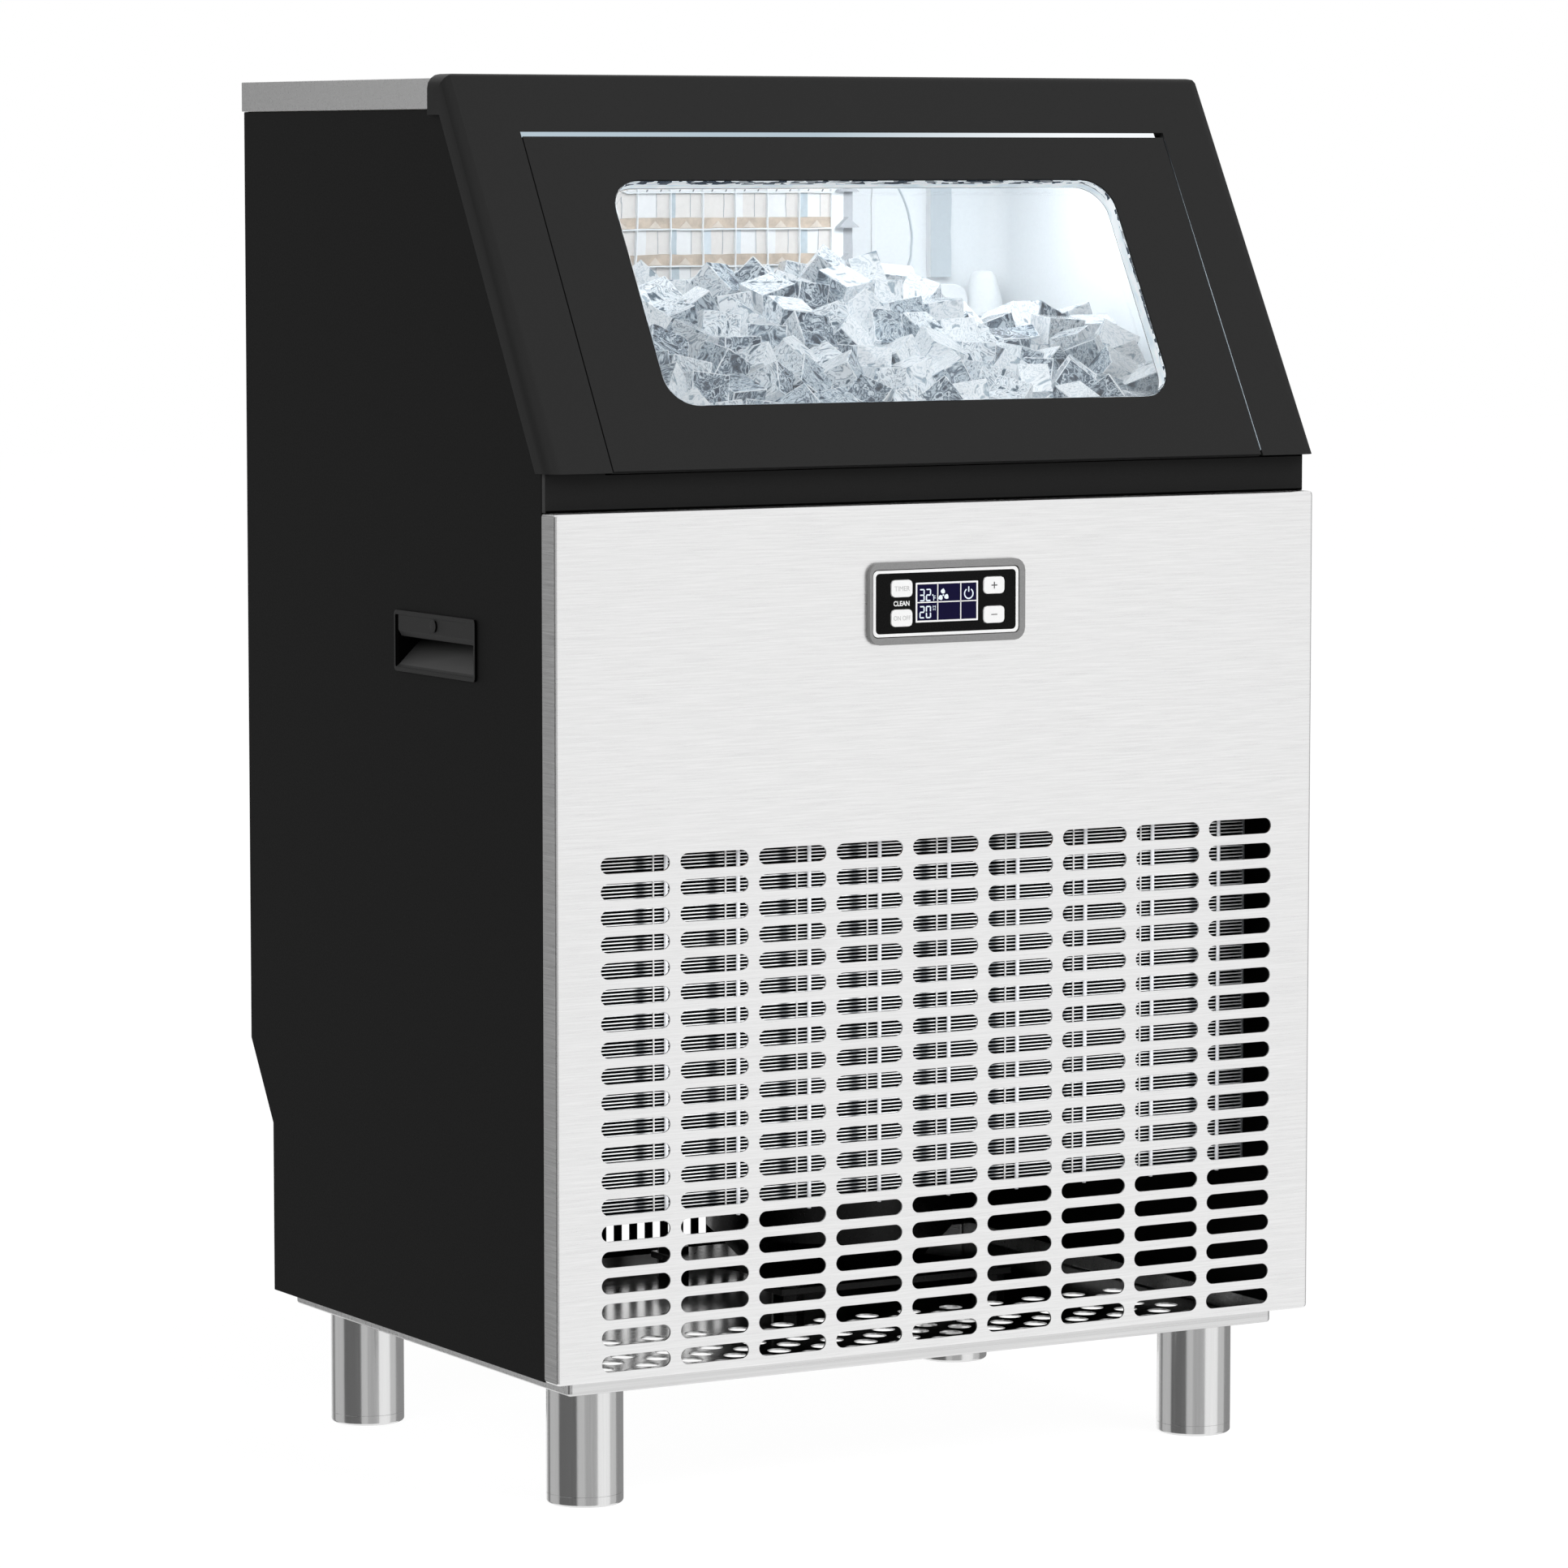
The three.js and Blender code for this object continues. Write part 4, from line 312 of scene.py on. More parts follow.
def band_look():
    """Painted light on the far part of the pane's side: a band that glows."""
    made = Look("edge_painted_glow", (0.5, 0.54, 0.57), 1.0, 0, 0.0, Emission_Strength=0.9)
    stops = ((0.3, (0.40, 0.46, 0.50)), (0.7, (0.60, 0.62, 0.63)))
    return made.ramp(made.noise(size=60, detail=2), stops, "Base Color", "Emission Color")


def scoop_look():
    """Painted light and shade in the scoop of a handle: black high up, lighter towards its lower
    rear end.
    """
    made = Look("handle_scoop", grey(0.03), 0.5, 0, 0.1)
    along = made.spread(made.axis("Y"), 1.0, 0.0, -0.10, 0.0)
    rise = made.spread(made.axis("Z"), 0.0, 1.0, 0.463, 0.481)
    share = made.spread(compute(made.tree, "SUBTRACT", along, rise), 0.0, 1.0, -0.85, 0.15)
    return made.ramp(share, ((0, grey(0.001)), (1, grey(0.062))), "Base Color")


# Where the condenser's upright tubes stand, and how far left of each the grey band lies
TUBE_FIRST, TUBE_STEP = -167, 46.2
BAND_LEFT = 15.4


def fin_look():
    """Fin edges, bright beside each tube and grey in a band between two tubes."""
    made = Look("fin_aluminium", grey(0.86), 0.45, 0.3, 0.4)
    value = made.axis("X")
    for step in (("ADD", (BAND_LEFT - TUBE_FIRST + TUBE_STEP * 4.5) * MM),
                 ("DIVIDE", TUBE_STEP * MM), ("FRACT",), ("SUBTRACT", 0.5), ("ABSOLUTE",)):
        value = compute(made.tree, step[0], value, *step[1:])
    streak = made.spread(made.noise((14, 1, 1300), 1, 4, 0.7), -0.45, 0.2)
    both = compute(made.tree, "ADD", made.spread(value, 0, 1, 0.02, 0.11), streak)
    return made.ramp(both, ((0, (0.15, 0.16, 0.17)), (1, (0.80, 0.81, 0.82))), "Base Color")


looks = {"acrylic": acrylic(), "fin": fin_look(), "scoop_painted_shade": scoop_look(),
         "edge_painted_reflection": shards_look(), "edge_painted_glow": band_look(), "gap_light": gap_light_look(),
         "seam_strip": seam_look()}
looks.update({key: brushed(*row) for key, row in BRUSHED.items()})
looks.update({key: coated(*row) for key, row in COATED.items()})
looks.update({key: swirled(key, tone, 52, 3.0, 0.3, 0.04) for key, tone in ICE_TONES.items()})
# The bed under the cubes carries the same painted refraction
looks["ice_bed"] = swirled("packed_ice", ICE_TONES["ice_slate"], 50, 2.5, 0.0, 0.3)


# Pieces: every new mesh rides on its node's body and gets its finish; one that stands for its node
# hides that node
bodies = {node: body for body, members in frame["record"]["behaviour"]["bodies"].items()
          for node in members}

# Nodes of the control panel, seen a little to the left of their opening
SHIFTED = ("display_bezel", "display_panel", "display_screen", "button_timer", "button_power",
           "button_plus", "button_minus")
DISPLAY_Z = up(425.2)
# Half width and half height of the opening in the bezel
BEZEL_WIDE, BEZEL_HIGH = 49.6, 20


def shift_left(mesh, bezel):
    """Moves a piece of the control panel; the bezel's outside moves less than its inside."""
    for vert in mesh.vertices:
        x, rise = vert.co.x, vert.co.z - DISPLAY_Z * MM
        outer = bezel and (abs(x) > BEZEL_WIDE * MM or abs(rise) > BEZEL_HIGH * MM)
        vert.co.x += (-0.75 - 0.02 * x / MM if outer else -1.6) * MM


def place(name, form, look, node, stands=True, angle=32):
    """Puts a piece in the scene on the body of its node; its form may still be in building."""
    mesh = form if isinstance(form, bpy.types.Mesh) else finished(form, name, angle)
    piece = bpy.data.objects.new(name, mesh)
    scene.collection.objects.link(piece)
    for one in (look,) if isinstance(look, str) else look:
        mesh.materials.append(looks[one])
    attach(piece, bodies[node])
    if stands:
        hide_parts(node)
    if node in SHIFTED:
        shift_left(mesh, node == "display_bezel")
    weighted = piece.modifiers.new("normals", "WEIGHTED_NORMAL")
    weighted.keep_sharp = True
    return piece


def finished(bm, name, angle=32):
    """The form as a mesh, smooth but for the edges where its surface turns."""
    bmesh.ops.recalc_face_normals(bm, faces=bm.faces)
    for face in bm.faces:
        face.smooth = True
    limit = math.radians(angle)
    for edge in bm.edges:
        edge.smooth = len(edge.link_faces) == 2 and edge.calc_face_angle(0) < limit
    mesh = bpy.data.meshes.new(name)
    bm.to_mesh(mesh)
    bm.free()
    return mesh


def sort_faces(mesh, chosen):
    """Gives the chosen faces the second of the mesh's looks, and all others the first."""
    for face in mesh.polygons:
        face.material_index = int(chosen(face))


def merged(node):
    """The node's own form with its facets merged."""
    bm = bmesh.new()
    bm.from_mesh(nodes[node].data)
    bmesh.ops.remove_doubles(bm, verts=bm.verts, dist=1e-6)
    bmesh.ops.dissolve_limit(bm, angle_limit=math.radians(0.6), verts=bm.verts, edges=bm.edges)
    return bm


def round_edges(bm, size, segments=2, chosen=None):
    """Rounds the sharp edges, or those of them that are chosen, by a size in millimetres."""
    limit = math.radians(32)
    edges = [e for e in bm.edges if len(e.link_faces) == 2 and e.calc_face_angle(0) > limit
             and (chosen is None or chosen(e))]
    if edges:
        bmesh.ops.bevel(bm, geom=edges, offset=size * MM, offset_type="OFFSET", segments=segments,
                        profile=0.5, affect="EDGES", clamp_overlap=True)


def dressed(node, look, size, segments=2):
    bm = merged(node)
    round_edges(bm, size, segments)
    return place(node + "_skin", bm, look, node)


def box_of(node):
    """The node's box in millimetres: x0, x1, y0, y1, z0, z1."""
    low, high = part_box(node)
    return [value / MM for pair in zip(low, high) for value in pair]


def add_box(bm, x0, x1, y0, y1, z0, z1):
    made = bmesh.ops.create_cube(bm, size=1)["verts"]
    size = Vector((x1 - x0, y1 - y0, z1 - z0)) * MM
    middle = Vector((x0 + x1, y0 + y1, z0 + z1)) * MM / 2
    for vert in made:
        vert.co = Vector(vert.co[i] * size[i] for i in range(3)) + middle
    return made


def bridge(bm, rings):
    """Faces from each ring of points to the next; a ring of one point is a tip."""
    for low, high in zip(rings, rings[1:]):
        count = max(len(low), len(high))
        for i in range(count):
            j = (i + 1) % count
            spots = (low, i), (low, j), (high, j), (high, i)
            corners = list(dict.fromkeys(ring[k % len(ring)] for ring, k in spots))
            if len(corners) > 2:
                bm.faces.new(corners)


def lathe(bm, profile, centre, axis="Z", sides=64):
    """Turns (radius, height) pairs about an axis through the centre, in millimetres."""
    rings = []
    for radius, height in profile:
        ring = []
        for i in range(sides if radius > 1e-6 else 1):
            a = 2 * math.pi * i / sides
            u, v = radius * math.cos(a), radius * math.sin(a)
            local = {"Z": (u, v, height), "Y": (u, height, v), "X": (height, u, v)}[axis]
            ring.append(bm.verts.new((Vector(centre) + Vector(local)) * MM))
        rings.append(ring)
    bridge(bm, rings)


def quarter(steps):
    """Sines and cosines of even steps through a quarter turn."""
    turns = [math.pi / 2 * i / steps for i in range(steps + 1)]
    return [(math.sin(a), math.cos(a)) for a in turns]


def rounded(x0, x1, z0, z1, radius, steps=6):
    points = []
    radius = max(radius, 0.01)
    for cx, cz, start in ((x1 - radius, z0 + radius, 270), (x1 - radius, z1 - radius, 0),
                          (x0 + radius, z1 - radius, 90), (x0 + radius, z0 + radius, 180)):
        for i in range(steps + 1):
            a = math.radians(start + 90 * i / steps)
            points.append((cx + radius * math.cos(a), cz + radius * math.sin(a)))
    return points


def growing(x0, x1, z0, z1, radius, steps, follow=True):
    """A rounded rectangle as a function of how far it is grown; its corners may follow."""
    return lambda grow: rounded(x0 - grow, x1 + grow, z0 - grow, z1 + grow,
                                radius + (grow if follow else 0), steps)


def circle(x, z, radius, sides=24):
    turns = [2 * math.pi * i / sides for i in range(sides)]
    return [(x + radius * math.cos(a), z + radius * math.sin(a)) for a in turns]


FRONTAL = Matrix(((1, 0, 0), (0, 0, 1), (0, 1, 0)))
FLAT = Matrix.Identity(3)
ACROSS = Matrix(((0, 0, 1), (1, 0, 0), (0, 1, 0)))
SLOPE = Matrix(((1, 0, 0), (0, math.sin(LEAN), math.cos(LEAN)),
                (0, math.cos(LEAN), -math.sin(LEAN))))
SLOPE_ORIGIN = Vector((0, back(0), up(502.4)))


def on_slope(point):
    """A point of the scene as millimetres across the slope, up it and into it."""
    return SLOPE.inverted() @ (point / MM - SLOPE_ORIGIN)


def off_slope(spot):
    return (SLOPE_ORIGIN + SLOPE @ spot) * MM


def plate(bm, outline, holes, start, thick, edge=0.2, turn=FRONTAL, origin=(0, 0, 0), mids=(),
          hem=False):
    """A sheet with openings. Outline and holes are functions of how far the edge is grown,
    in millimetres; start and thick run along the sheet's third axis; its rims are rounded.
    mids are depths of extra rows in its sides; with hem, its outline stays open for a fold."""
    shapes = [outline] + list(holes)
    base = Vector(origin)

    def pairs_of(index, grow):
        return shapes[index]((0 if hem else -grow) if index == 0 else grow)

    def ring(index, grow, depth):
        return [bm.verts.new((base + turn @ Vector((a, b, depth))) * MM)
                for a, b in pairs_of(index, grow)]

    levels = [(edge * (1 - sine), start + edge * (1 - cosine)) for sine, cosine in quarter(2)]
    far = [(grow, 2 * start + thick - depth) for grow, depth in reversed(levels)]
    rows = levels + [(0, depth) for depth in mids] + far
    stacks = []
    for index in range(len(shapes)):
        if hem and index == 0:
            stacks.append([ring(index, 0, depth) for depth in (start, start + thick)])
        else:
            stacks.append([ring(index, grow, depth) for grow, depth in rows])
            bridge(bm, stacks[-1])
    for level in (0, -1):
        verts, points, edges, owner = [], [], [], []
        for index in range(len(shapes)):
            pairs = pairs_of(index, rows[level][0])
            first = len(points)
            points += [Vector(p) for p in pairs]
            owner += [index] * len(pairs)
            verts += stacks[index][level]
            edges += [(first + i, first + (i + 1) % len(pairs)) for i in range(len(pairs))]
        out = geometry.delaunay_2d_cdt(points, edges, [], 1, 1e-7)
        names = [origins[0] for origins in out[3]]
        for tri in out[2]:
            trio = [names[i] for i in tri]
            owners = {owner[i] for i in trio}
            # A triangle on three points of one opening lies inside that opening
            if len(set(trio)) == 3 and (len(owners) > 1 or owners == {0}):
                bm.faces.new([verts[i] for i in trio])


SHEET = 1.2


def folded_sheet(bm, box, holes, start, turn, edge, bend, steps, inner, corner, least):
    """A sheet with openings and a rim folded back all round. The box is its outline and the
    rim's depth; bend is the fold's outer radius, inner the points of its inner side."""
    x0, x1, z0, z1, deep = box
    plate(bm, growing(x0 + 3, x1 - 3, z0 + 3, z1 - 3, least, 3, False), holes, start, SHEET, edge,
          turn, hem=True)
    profile = [(3, 0), (bend, 0)]
    profile += [(bend - bend * sine, bend - bend * cosine) for sine, cosine in quarter(steps)[1:]]
    profile += [(0, deep), (SHEET, deep), *inner, (3, SHEET)]
    rings = []
    for inset, depth in profile:
        pairs = rounded(x0 + inset, x1 - inset, z0 + inset, z1 - inset,
                        max(corner - inset, least), 3)
        rings.append([bm.verts.new(turn @ Vector((a, b, start + depth)) * MM) for a, b in pairs])
    bridge(bm, rings)
    bmesh.ops.remove_doubles(bm, verts=bm.verts, dist=1e-6)


def tube_mesh(bm, points, radius, sides=12):
    """A round bar along a list of points in millimetres."""
    path = [Vector(p) * MM for p in points]
    rings = []
    for i, point in enumerate(path):
        tangent = (path[min(i + 1, len(path) - 1)] - path[max(i - 1, 0)]).normalized()
        side = tangent.cross(Vector((0, 0, 1)))
        if side.length < 1e-3:
            side = tangent.cross(Vector((0, 1, 0)))
        side.normalize()
        other = side.cross(tangent).normalized()
        if rings and side.dot(last_side) < 0:
            side, other = -side, -other
        last_side = side
        rings.append([bm.verts.new(point + (side * a + other * b) * radius * MM)
                      for a, b in circle(0, 0, 1, sides)])
    bridge(bm, rings)
    bm.faces.new(rings[0][::-1])
    bm.faces.new(rings[-1])


# Front panel: one folded sheet of brushed steel with its slots
SLOT_X = [50.09 * (i - 4) for i in range(9)]
SLOT_Z = [9.8 + 14.585 * i for i in range(20)]
SLOT_HALF = 21.6
SLOT_RADIUS = 4.5
PANEL_HALF = 250
PANEL_HIGH = 481


def front_panel():
    bm = bmesh.new()
    holes = [growing(x - SLOT_HALF, x + SLOT_HALF, up(z) - SLOT_RADIUS, up(z) + SLOT_RADIUS,
                     SLOT_RADIUS - 0.01, 7) for x in SLOT_X for z in SLOT_Z]
    holes.append(lambda grow: rounded(-49, 49, DISPLAY_Z - 20, DISPLAY_Z + 20, 3, 3))
    folded_sheet(bm, (-PANEL_HALF, PANEL_HALF, up(0), up(PANEL_HIGH), 15), holes, FRONT, FRONTAL,
                 0.25, 1.6, 6, ((SHEET, 2.8), (1.6, 1.6)), 2.2, 0.5)
    mesh = finished(bm, "front_panel_skin", 40)
    # The side returns get the darker copy of the steel: painted shade
    sort_faces(mesh, lambda face: abs(face.normal.x) > 0.8)
    place("front_panel_skin", mesh, ("steel", "steel_return_shaded"), "front_panel")


front_panel()
neck = dressed("neck_panel", "neck", 0.6)
# The neck's left side gets a lighter copy of its coat: painted light
neck.data.materials.append(looks["neck_lit_side"])
sort_faces(neck.data, lambda face: face.normal.x < -0.8)
dressed("left_side_panel", "sheet", 0.5)
dressed("right_side_panel", "sheet", 0.5)
dressed("rear_panel", "sheet", 0.3)
dressed("top_panel", "steel_top", 0.8, 3)
dressed("door_back_frame", "hood", 0.3)
dressed("door_gasket", "rubber", 0.6)

# Doorway and door as solids, then where their edges are seen, across the slope and up it
DOORWAY_LEFT, DOORWAY_LEFT_SEEN = -214.75, -213.5
DOOR_SIDE, DOOR_LEFT_SEEN = 213.75, 212.9
DOOR_TOP, DOOR_TOP_SEEN = 211.5, 211.85
DOOR_CUT = 3
# Where the arcs of the window's corners are centred, their radius and the tighter one seen
ARC_SIDE, ARC_LOW, ARC_HIGH = 143.5, 63.2, 160.9
ARC, ARC_SEEN = 23, 19.5


def slope_box(bm, a0, a1, s0, s1, n0, n1):
    """A box across the slope, up it and out of it, in millimetres."""
    for vert in add_box(bm, a0, a1, s0, s1, -n1, -n0):
        vert.co = off_slope(vert.co / MM)


def hood_frame():
    bm = merged("hood_frame")
    for vert in bm.verts:
        spot = on_slope(vert.co)
        if abs(spot.x - DOORWAY_LEFT) < 0.02:
            spot.x = DOORWAY_LEFT_SEEN
            vert.co = off_slope(spot)
    round_edges(bm, 0.6)
    place("hood_frame_skin", bm, "hood", "hood_frame")


hood_frame()


def door_frame():
    bm = merged("door_frame")
    for vert in bm.verts:
        spot = on_slope(vert.co)
        side = math.copysign(1, spot.x)
        wide = DOOR_SIDE if side > 0 else DOOR_LEFT_SEEN
        if abs(abs(spot.x) - DOOR_SIDE) < 0.01:
            spot.x = side * wide
        if abs(spot.y - DOOR_TOP) < 0.01:
            spot.y = DOOR_TOP_SEEN
        # Outer corners, square instead of cut
        for centre, end in ((4.0, 1.0), (208.5, DOOR_TOP_SEEN)):
            away = Vector((abs(spot.x) - DOOR_SIDE + DOOR_CUT, spot.y - centre))
            outward = away.x > -0.01 and away.y * (end - centre) >= -0.01
            if outward and abs(away.length - DOOR_CUT) < 0.4:
                spot.x, spot.y = side * wide, end
        # Window corners, a little tighter
        for centre, sign in ((ARC_LOW, -1), (ARC_HIGH, 1)):
            away = Vector((abs(spot.x) - ARC_SIDE, (spot.y - centre) * sign))
            if abs(away.length - ARC) < 0.03 and min(away) > -0.01:
                away = away.normalized() * ARC_SEEN
                spot.x = side * (ARC_SIDE + ARC - ARC_SEEN + away.x)
                spot.y = centre + sign * (ARC - ARC_SEEN + away.y)
        vert.co = off_slope(spot)
    bmesh.ops.remove_doubles(bm, verts=bm.verts, dist=1e-5)
    round_edges(bm, 0.5)
    place("door_frame_skin", bm, "hood", "door_frame")


door_frame()


# Pale strips of painted light that show in the gaps round the door, and dark strips of painted
# shadow under it
def gap_strips():
    # A glowing strip at the top of the doorway: painted light
    bm = bmesh.new()
    slope_box(bm, -213.3, 214.7, 214.78, 214.98, -8.5, -0.6)
    for vert in bm.verts:
        spot = on_slope(vert.co)
        if spot.x > 0 and spot.z < 2:
            spot.x = 208.5
            vert.co = off_slope(spot)
    round_edges(bm, 0.05, 1)
    place("doorway_light_strip", bm, "gap_light", "hood_frame", False)
    # A grey-blue strip in the side gap: painted light from inside, darker towards the top
    bm = bmesh.new()
    slope_box(bm, 214.45, 214.74, 4, 211, -3.0, -0.3)
    round_edges(bm, 0.05, 1)
    place("doorway_side_strip", bm, "seam_strip", "hood_frame", False)
    # Dark strips on the neck under the door and along its lower edge: painted shadow
    bm = bmesh.new()
    face = box_of("neck_panel")[2]
    add_box(bm, -212.6, 249, face - 0.3, face + 0.2, up(500.9), up(502.3))
    round_edges(bm, 0.12, 1)
    add_box(bm, -249.4, 249.4, face - 0.2, face + 0.3, up(PANEL_HIGH), up(PANEL_HIGH + 1.2))
    place("neck_painted_shadow", bm, "handle_shade", "neck_panel", False)


gap_strips()


# Window: a thick clear block that fills the opening, so its polished sides show, with painted
# reflection and painted glow on them
def window():
    bm = bmesh.new()
    # Rows of its sides where the painted reflection's splinters begin, end at the right and end at
    # the top
    begin, right_end, top_end = 1.6, 4.5, 8.5
    plate(bm, growing(-166.1, 166.1, 40.6, 183.5, 19.1, 12), [], 0.5, 16, 0.5, SLOPE,
          SLOPE_ORIGIN, mids=(begin, right_end, top_end))
    mesh = finished(bm, "window_block")
    inverse = SLOPE.inverted()
    for face in mesh.polygons:
        facing = inverse @ face.normal
        spot = on_slope(face.center)
        # The sides but the lowest carry painted reflection between these rows and painted glow
        # elsewhere
        if abs(facing.z) < 0.2 and facing.y > -0.5:
            deep = top_end if facing.y > 0.35 else right_end if spot.y < 115 else 0
            face.material_index = 1 if begin < spot.z < deep else 2
    pane = place("window_block", mesh, ("acrylic", "edge_painted_reflection", "edge_painted_glow"), "window_pane")
    pane.visible_shadow = False


window()


# Bin: liner with a soft rear corner, a pressed ring, the riser, the pump and the float cover
RISER_FRONT, RISER_FRONT_SEEN = 112.2, 121
PUMP_LEFT, PUMP_DOWN = 6, 3.9


def rear_corner(edge):
    low, high = edge.verts
    near = all(v.co.x > 0.228 and 0.120 < v.co.y < 0.1285 for v in edge.verts)
    return near and abs(low.co.z - high.co.z) > 0.05


def bin_interior():
    bm = merged("bin_liner")
    round_edges(bm, 15, 8, rear_corner)
    round_edges(bm, 1)
    place("bin_liner_skin", bm, "liner", "bin_liner")
    bm = bmesh.new()
    ring = [(54.2, -0.5), (54.2, -1.6), (54.8, -1.9), (55.4, -1.6), (55.4, -0.5)]
    lathe(bm, ring, (110.5, 125.4, 698), "Y", 96)
    # The pressed ring is drawn in the shaded white: painted shade
    place("liner_ring", bm, "white_shade", "bin_liner", False)
    bm = bmesh.new()
    add_box(bm, 136.4, 139.8, 123.6, 127, 620, 764)
    round_edges(bm, 0.6)
    place("liner_ridge", bm, "white", "bin_liner", False)

    bm = merged("water_riser")
    for vert in bm.verts:
        if abs(vert.co.y / MM - RISER_FRONT) < 1:
            vert.co.y = RISER_FRONT_SEEN * MM
    round_edges(bm, 0.4)
    mesh = finished(bm, "water_riser_skin")
    # The riser's front face gets the shaded white: painted shade
    sort_faces(mesh, lambda face: face.normal.y < -0.7 and face.center.y > 0.115)
    place("water_riser_skin", mesh, ("white", "white_shade"), "water_riser")

    bm = merged("pump_housing")
    for vert in bm.verts:
        if vert.co.x > 0.185:
            vert.co.x -= PUMP_LEFT * MM
        if vert.co.z > 0.64:
            vert.co.z -= PUMP_DOWN * MM
    round_edges(bm, 0.6)
    place("pump_housing_skin", bm, "white", "pump_housing")

    bm = bmesh.new()
    low, high = box_of("float_cover")[4:]
    top = high - 4.4
    profile = [(0, low), (15, low), (14.5, top - 36), (12.5, top - 24), (10.5, top - 14),
               (8.8, top - 6), (7.6, top - 3), (5.6, top - 1.2), (3, top - 0.3), (0, top)]
    lathe(bm, profile, (208.2, 109.5, 0))
    place("float_cover_skin", bm, "white", "float_cover", angle=50)


bin_interior()


# Recessed side handles: thin rim, flap with a round boss, scoop behind it
def prism(bm, pairs, first, last, turn, origin=(0, 0, 0)):
    """A solid of one outline drawn out along the turned frame's first axis."""
    base = Vector(origin)
    ends = [[bm.verts.new((base + turn @ Vector((a, b, d))) * MM) for d, b in pairs]
            for a in (first, last)]
    count = len(pairs)
    made = [bm.faces.new(ends[0]), bm.faces.new(ends[1][::-1])]
    for i in range(count):
        j = (i + 1) % count
        made.append(bm.faces.new((ends[0][j], ends[0][i], ends[1][i], ends[1][j])))
    return made


def handle(side, node):
    turn = Matrix(((0, 0, -side), (1, 0, 0), (0, 1, 0)))
    upright = Matrix(((0, 0, -side), (0, 1, 0), (1, 0, 0)))
    outside = side * 251.5
    origin = (outside, 0, 0)
    y0, y1, z0, z1 = back(92.3), back(192.3), up(382.9), up(417.9)
    grip = z1 - 13.3
    a0, a1, low, high = y0 + 1.8, y1 - 1.8, z0 + 2.6, z1 - 2.6
    bm = bmesh.new()
    plate(bm, growing(y0, y1, z0, z1, 2.6, 4), [growing(a0, a1, low, high, 0.8, 3)], 0, 2.6, 0.4,
          turn, origin)
    # The cheeks are painted shade, dark as the shadow in the pocket
    for first, ends in ((y0, 1), (y1, -1)):
        cheek = [(depth, first + ends * along) for depth, along in
                 ((0.7, 1.75), (1.3, 3.95), (17, 3.95), (17, 2.5), (1.2, 1.7))]
        for face in prism(bm, cheek, low - 0.1, high + 0.1, upright, origin):
            face.material_index = 1
    flap = [(0.35, high + 0.4), (0.35, grip + 2.2), (0.6, grip + 1.7), (2.4, grip - 1.4),
            (3.2, grip - 1.7), (4.2, grip), (4.2, high + 0.4)]
    prism(bm, flap, a0 - 0.4, a1 - 3.4, turn, origin)
    floor = [(0.6, z0 + 2.4), (1.3, z0 + 3.95), (15.5, grip - 4), (16.5, grip), (17.5, grip),
             (17.5, grip - 6), (3.2, z0 + 2.5)]
    # The scoop's floor carries painted light and shade
    prism(bm, floor, y0 + 1.9, y1 - 1.9, turn, origin)[3].material_index = 2
    rear = [(16.5, grip - 0.5), (16.5, high), (2.9, high), (2.9, high + 0.2), (17.5, high + 0.2),
            (17.5, grip - 0.5)]
    prism(bm, rear, y0 + 2.5, y1 - 2.5, turn, origin)
    boss = [(0, -0.75), (3.1, -0.75), (3.5, -0.6), (3.7, -0.2), (3.7, 1.2), (0, 1.2)]
    lathe(bm, [(r, -side * d) for r, d in boss], (outside, (y0 + y1) / 2, (grip + z1) / 2), "X", 32)
    mesh = finished(bm, node + "_skin")
    # Faces that look forward get painted shade
    for face in mesh.polygons:
        if face.normal.y < -0.55:
            face.material_index = 1
    place(node + "_skin", mesh, ("handle", "handle_shade", "scoop_painted_shade"), node)


handle(-1, "left_handle")
handle(1, "right_handle")


# Control panel: plate with a pale ring, a framed screen, four buttons and plain lettering
PLATE_Y = back(-2.2)
BUTTON_Y = back(-2.9)
PRINT = (PLATE_Y - 0.12, PLATE_Y + 0.02)
FACING = Matrix(((0, 1, 0), (1, 0, 0), (0, 0, 1)))


def flat_shape(bm, pairs, depths=PRINT):
    """A small printed shape on a face that looks forward."""
    prism(bm, [(z, x) for x, z in pairs], *depths, FACING)


def flat_box(bm, x0, x1, z0, z1):
    flat_shape(bm, [(x0, z0), (x1, z0), (x1, z1), (x0, z1)])


def letters(bm, words, x, z, width, height, y, bold=0.0):
    """Plain lettering of a given size about a place on a face that looks forward."""
    curve = bpy.data.curves.new("letters", "FONT")
    curve.body = words
    curve.extrude = 0.02
    curve.offset = bold
    curve.resolution_u = 3
    holder = bpy.data.objects.new("letters", curve)
    scene.collection.objects.link(holder)
    drawn = holder.evaluated_get(bpy.context.evaluated_depsgraph_get()).to_mesh()
    points = np.array([v.co[:] for v in drawn.vertices])
    low, high = points.min(0), points.max(0)
    scale = np.array([width / (high[0] - low[0]), height / (high[1] - low[1])])
    middle = (low + high) / 2
    verts = []
    for point in points:
        u, v = (point[:2] - middle[:2]) * scale
        depth = y - 0.05 if point[2] > 0 else y + 0.05
        verts.append(bm.verts.new(Vector((x + u, depth, z + v)) * MM))
    for face in drawn.polygons:
        # A face on the same points as another is left out
        try:
            bm.faces.new([verts[i] for i in face.vertices])
        except ValueError:
            continue
    holder.to_mesh_clear()
    bpy.data.objects.remove(holder)
    bpy.data.curves.remove(curve)


SEGMENTS = {"0": "abcdef", "2": "abged", "3": "abgcd"}


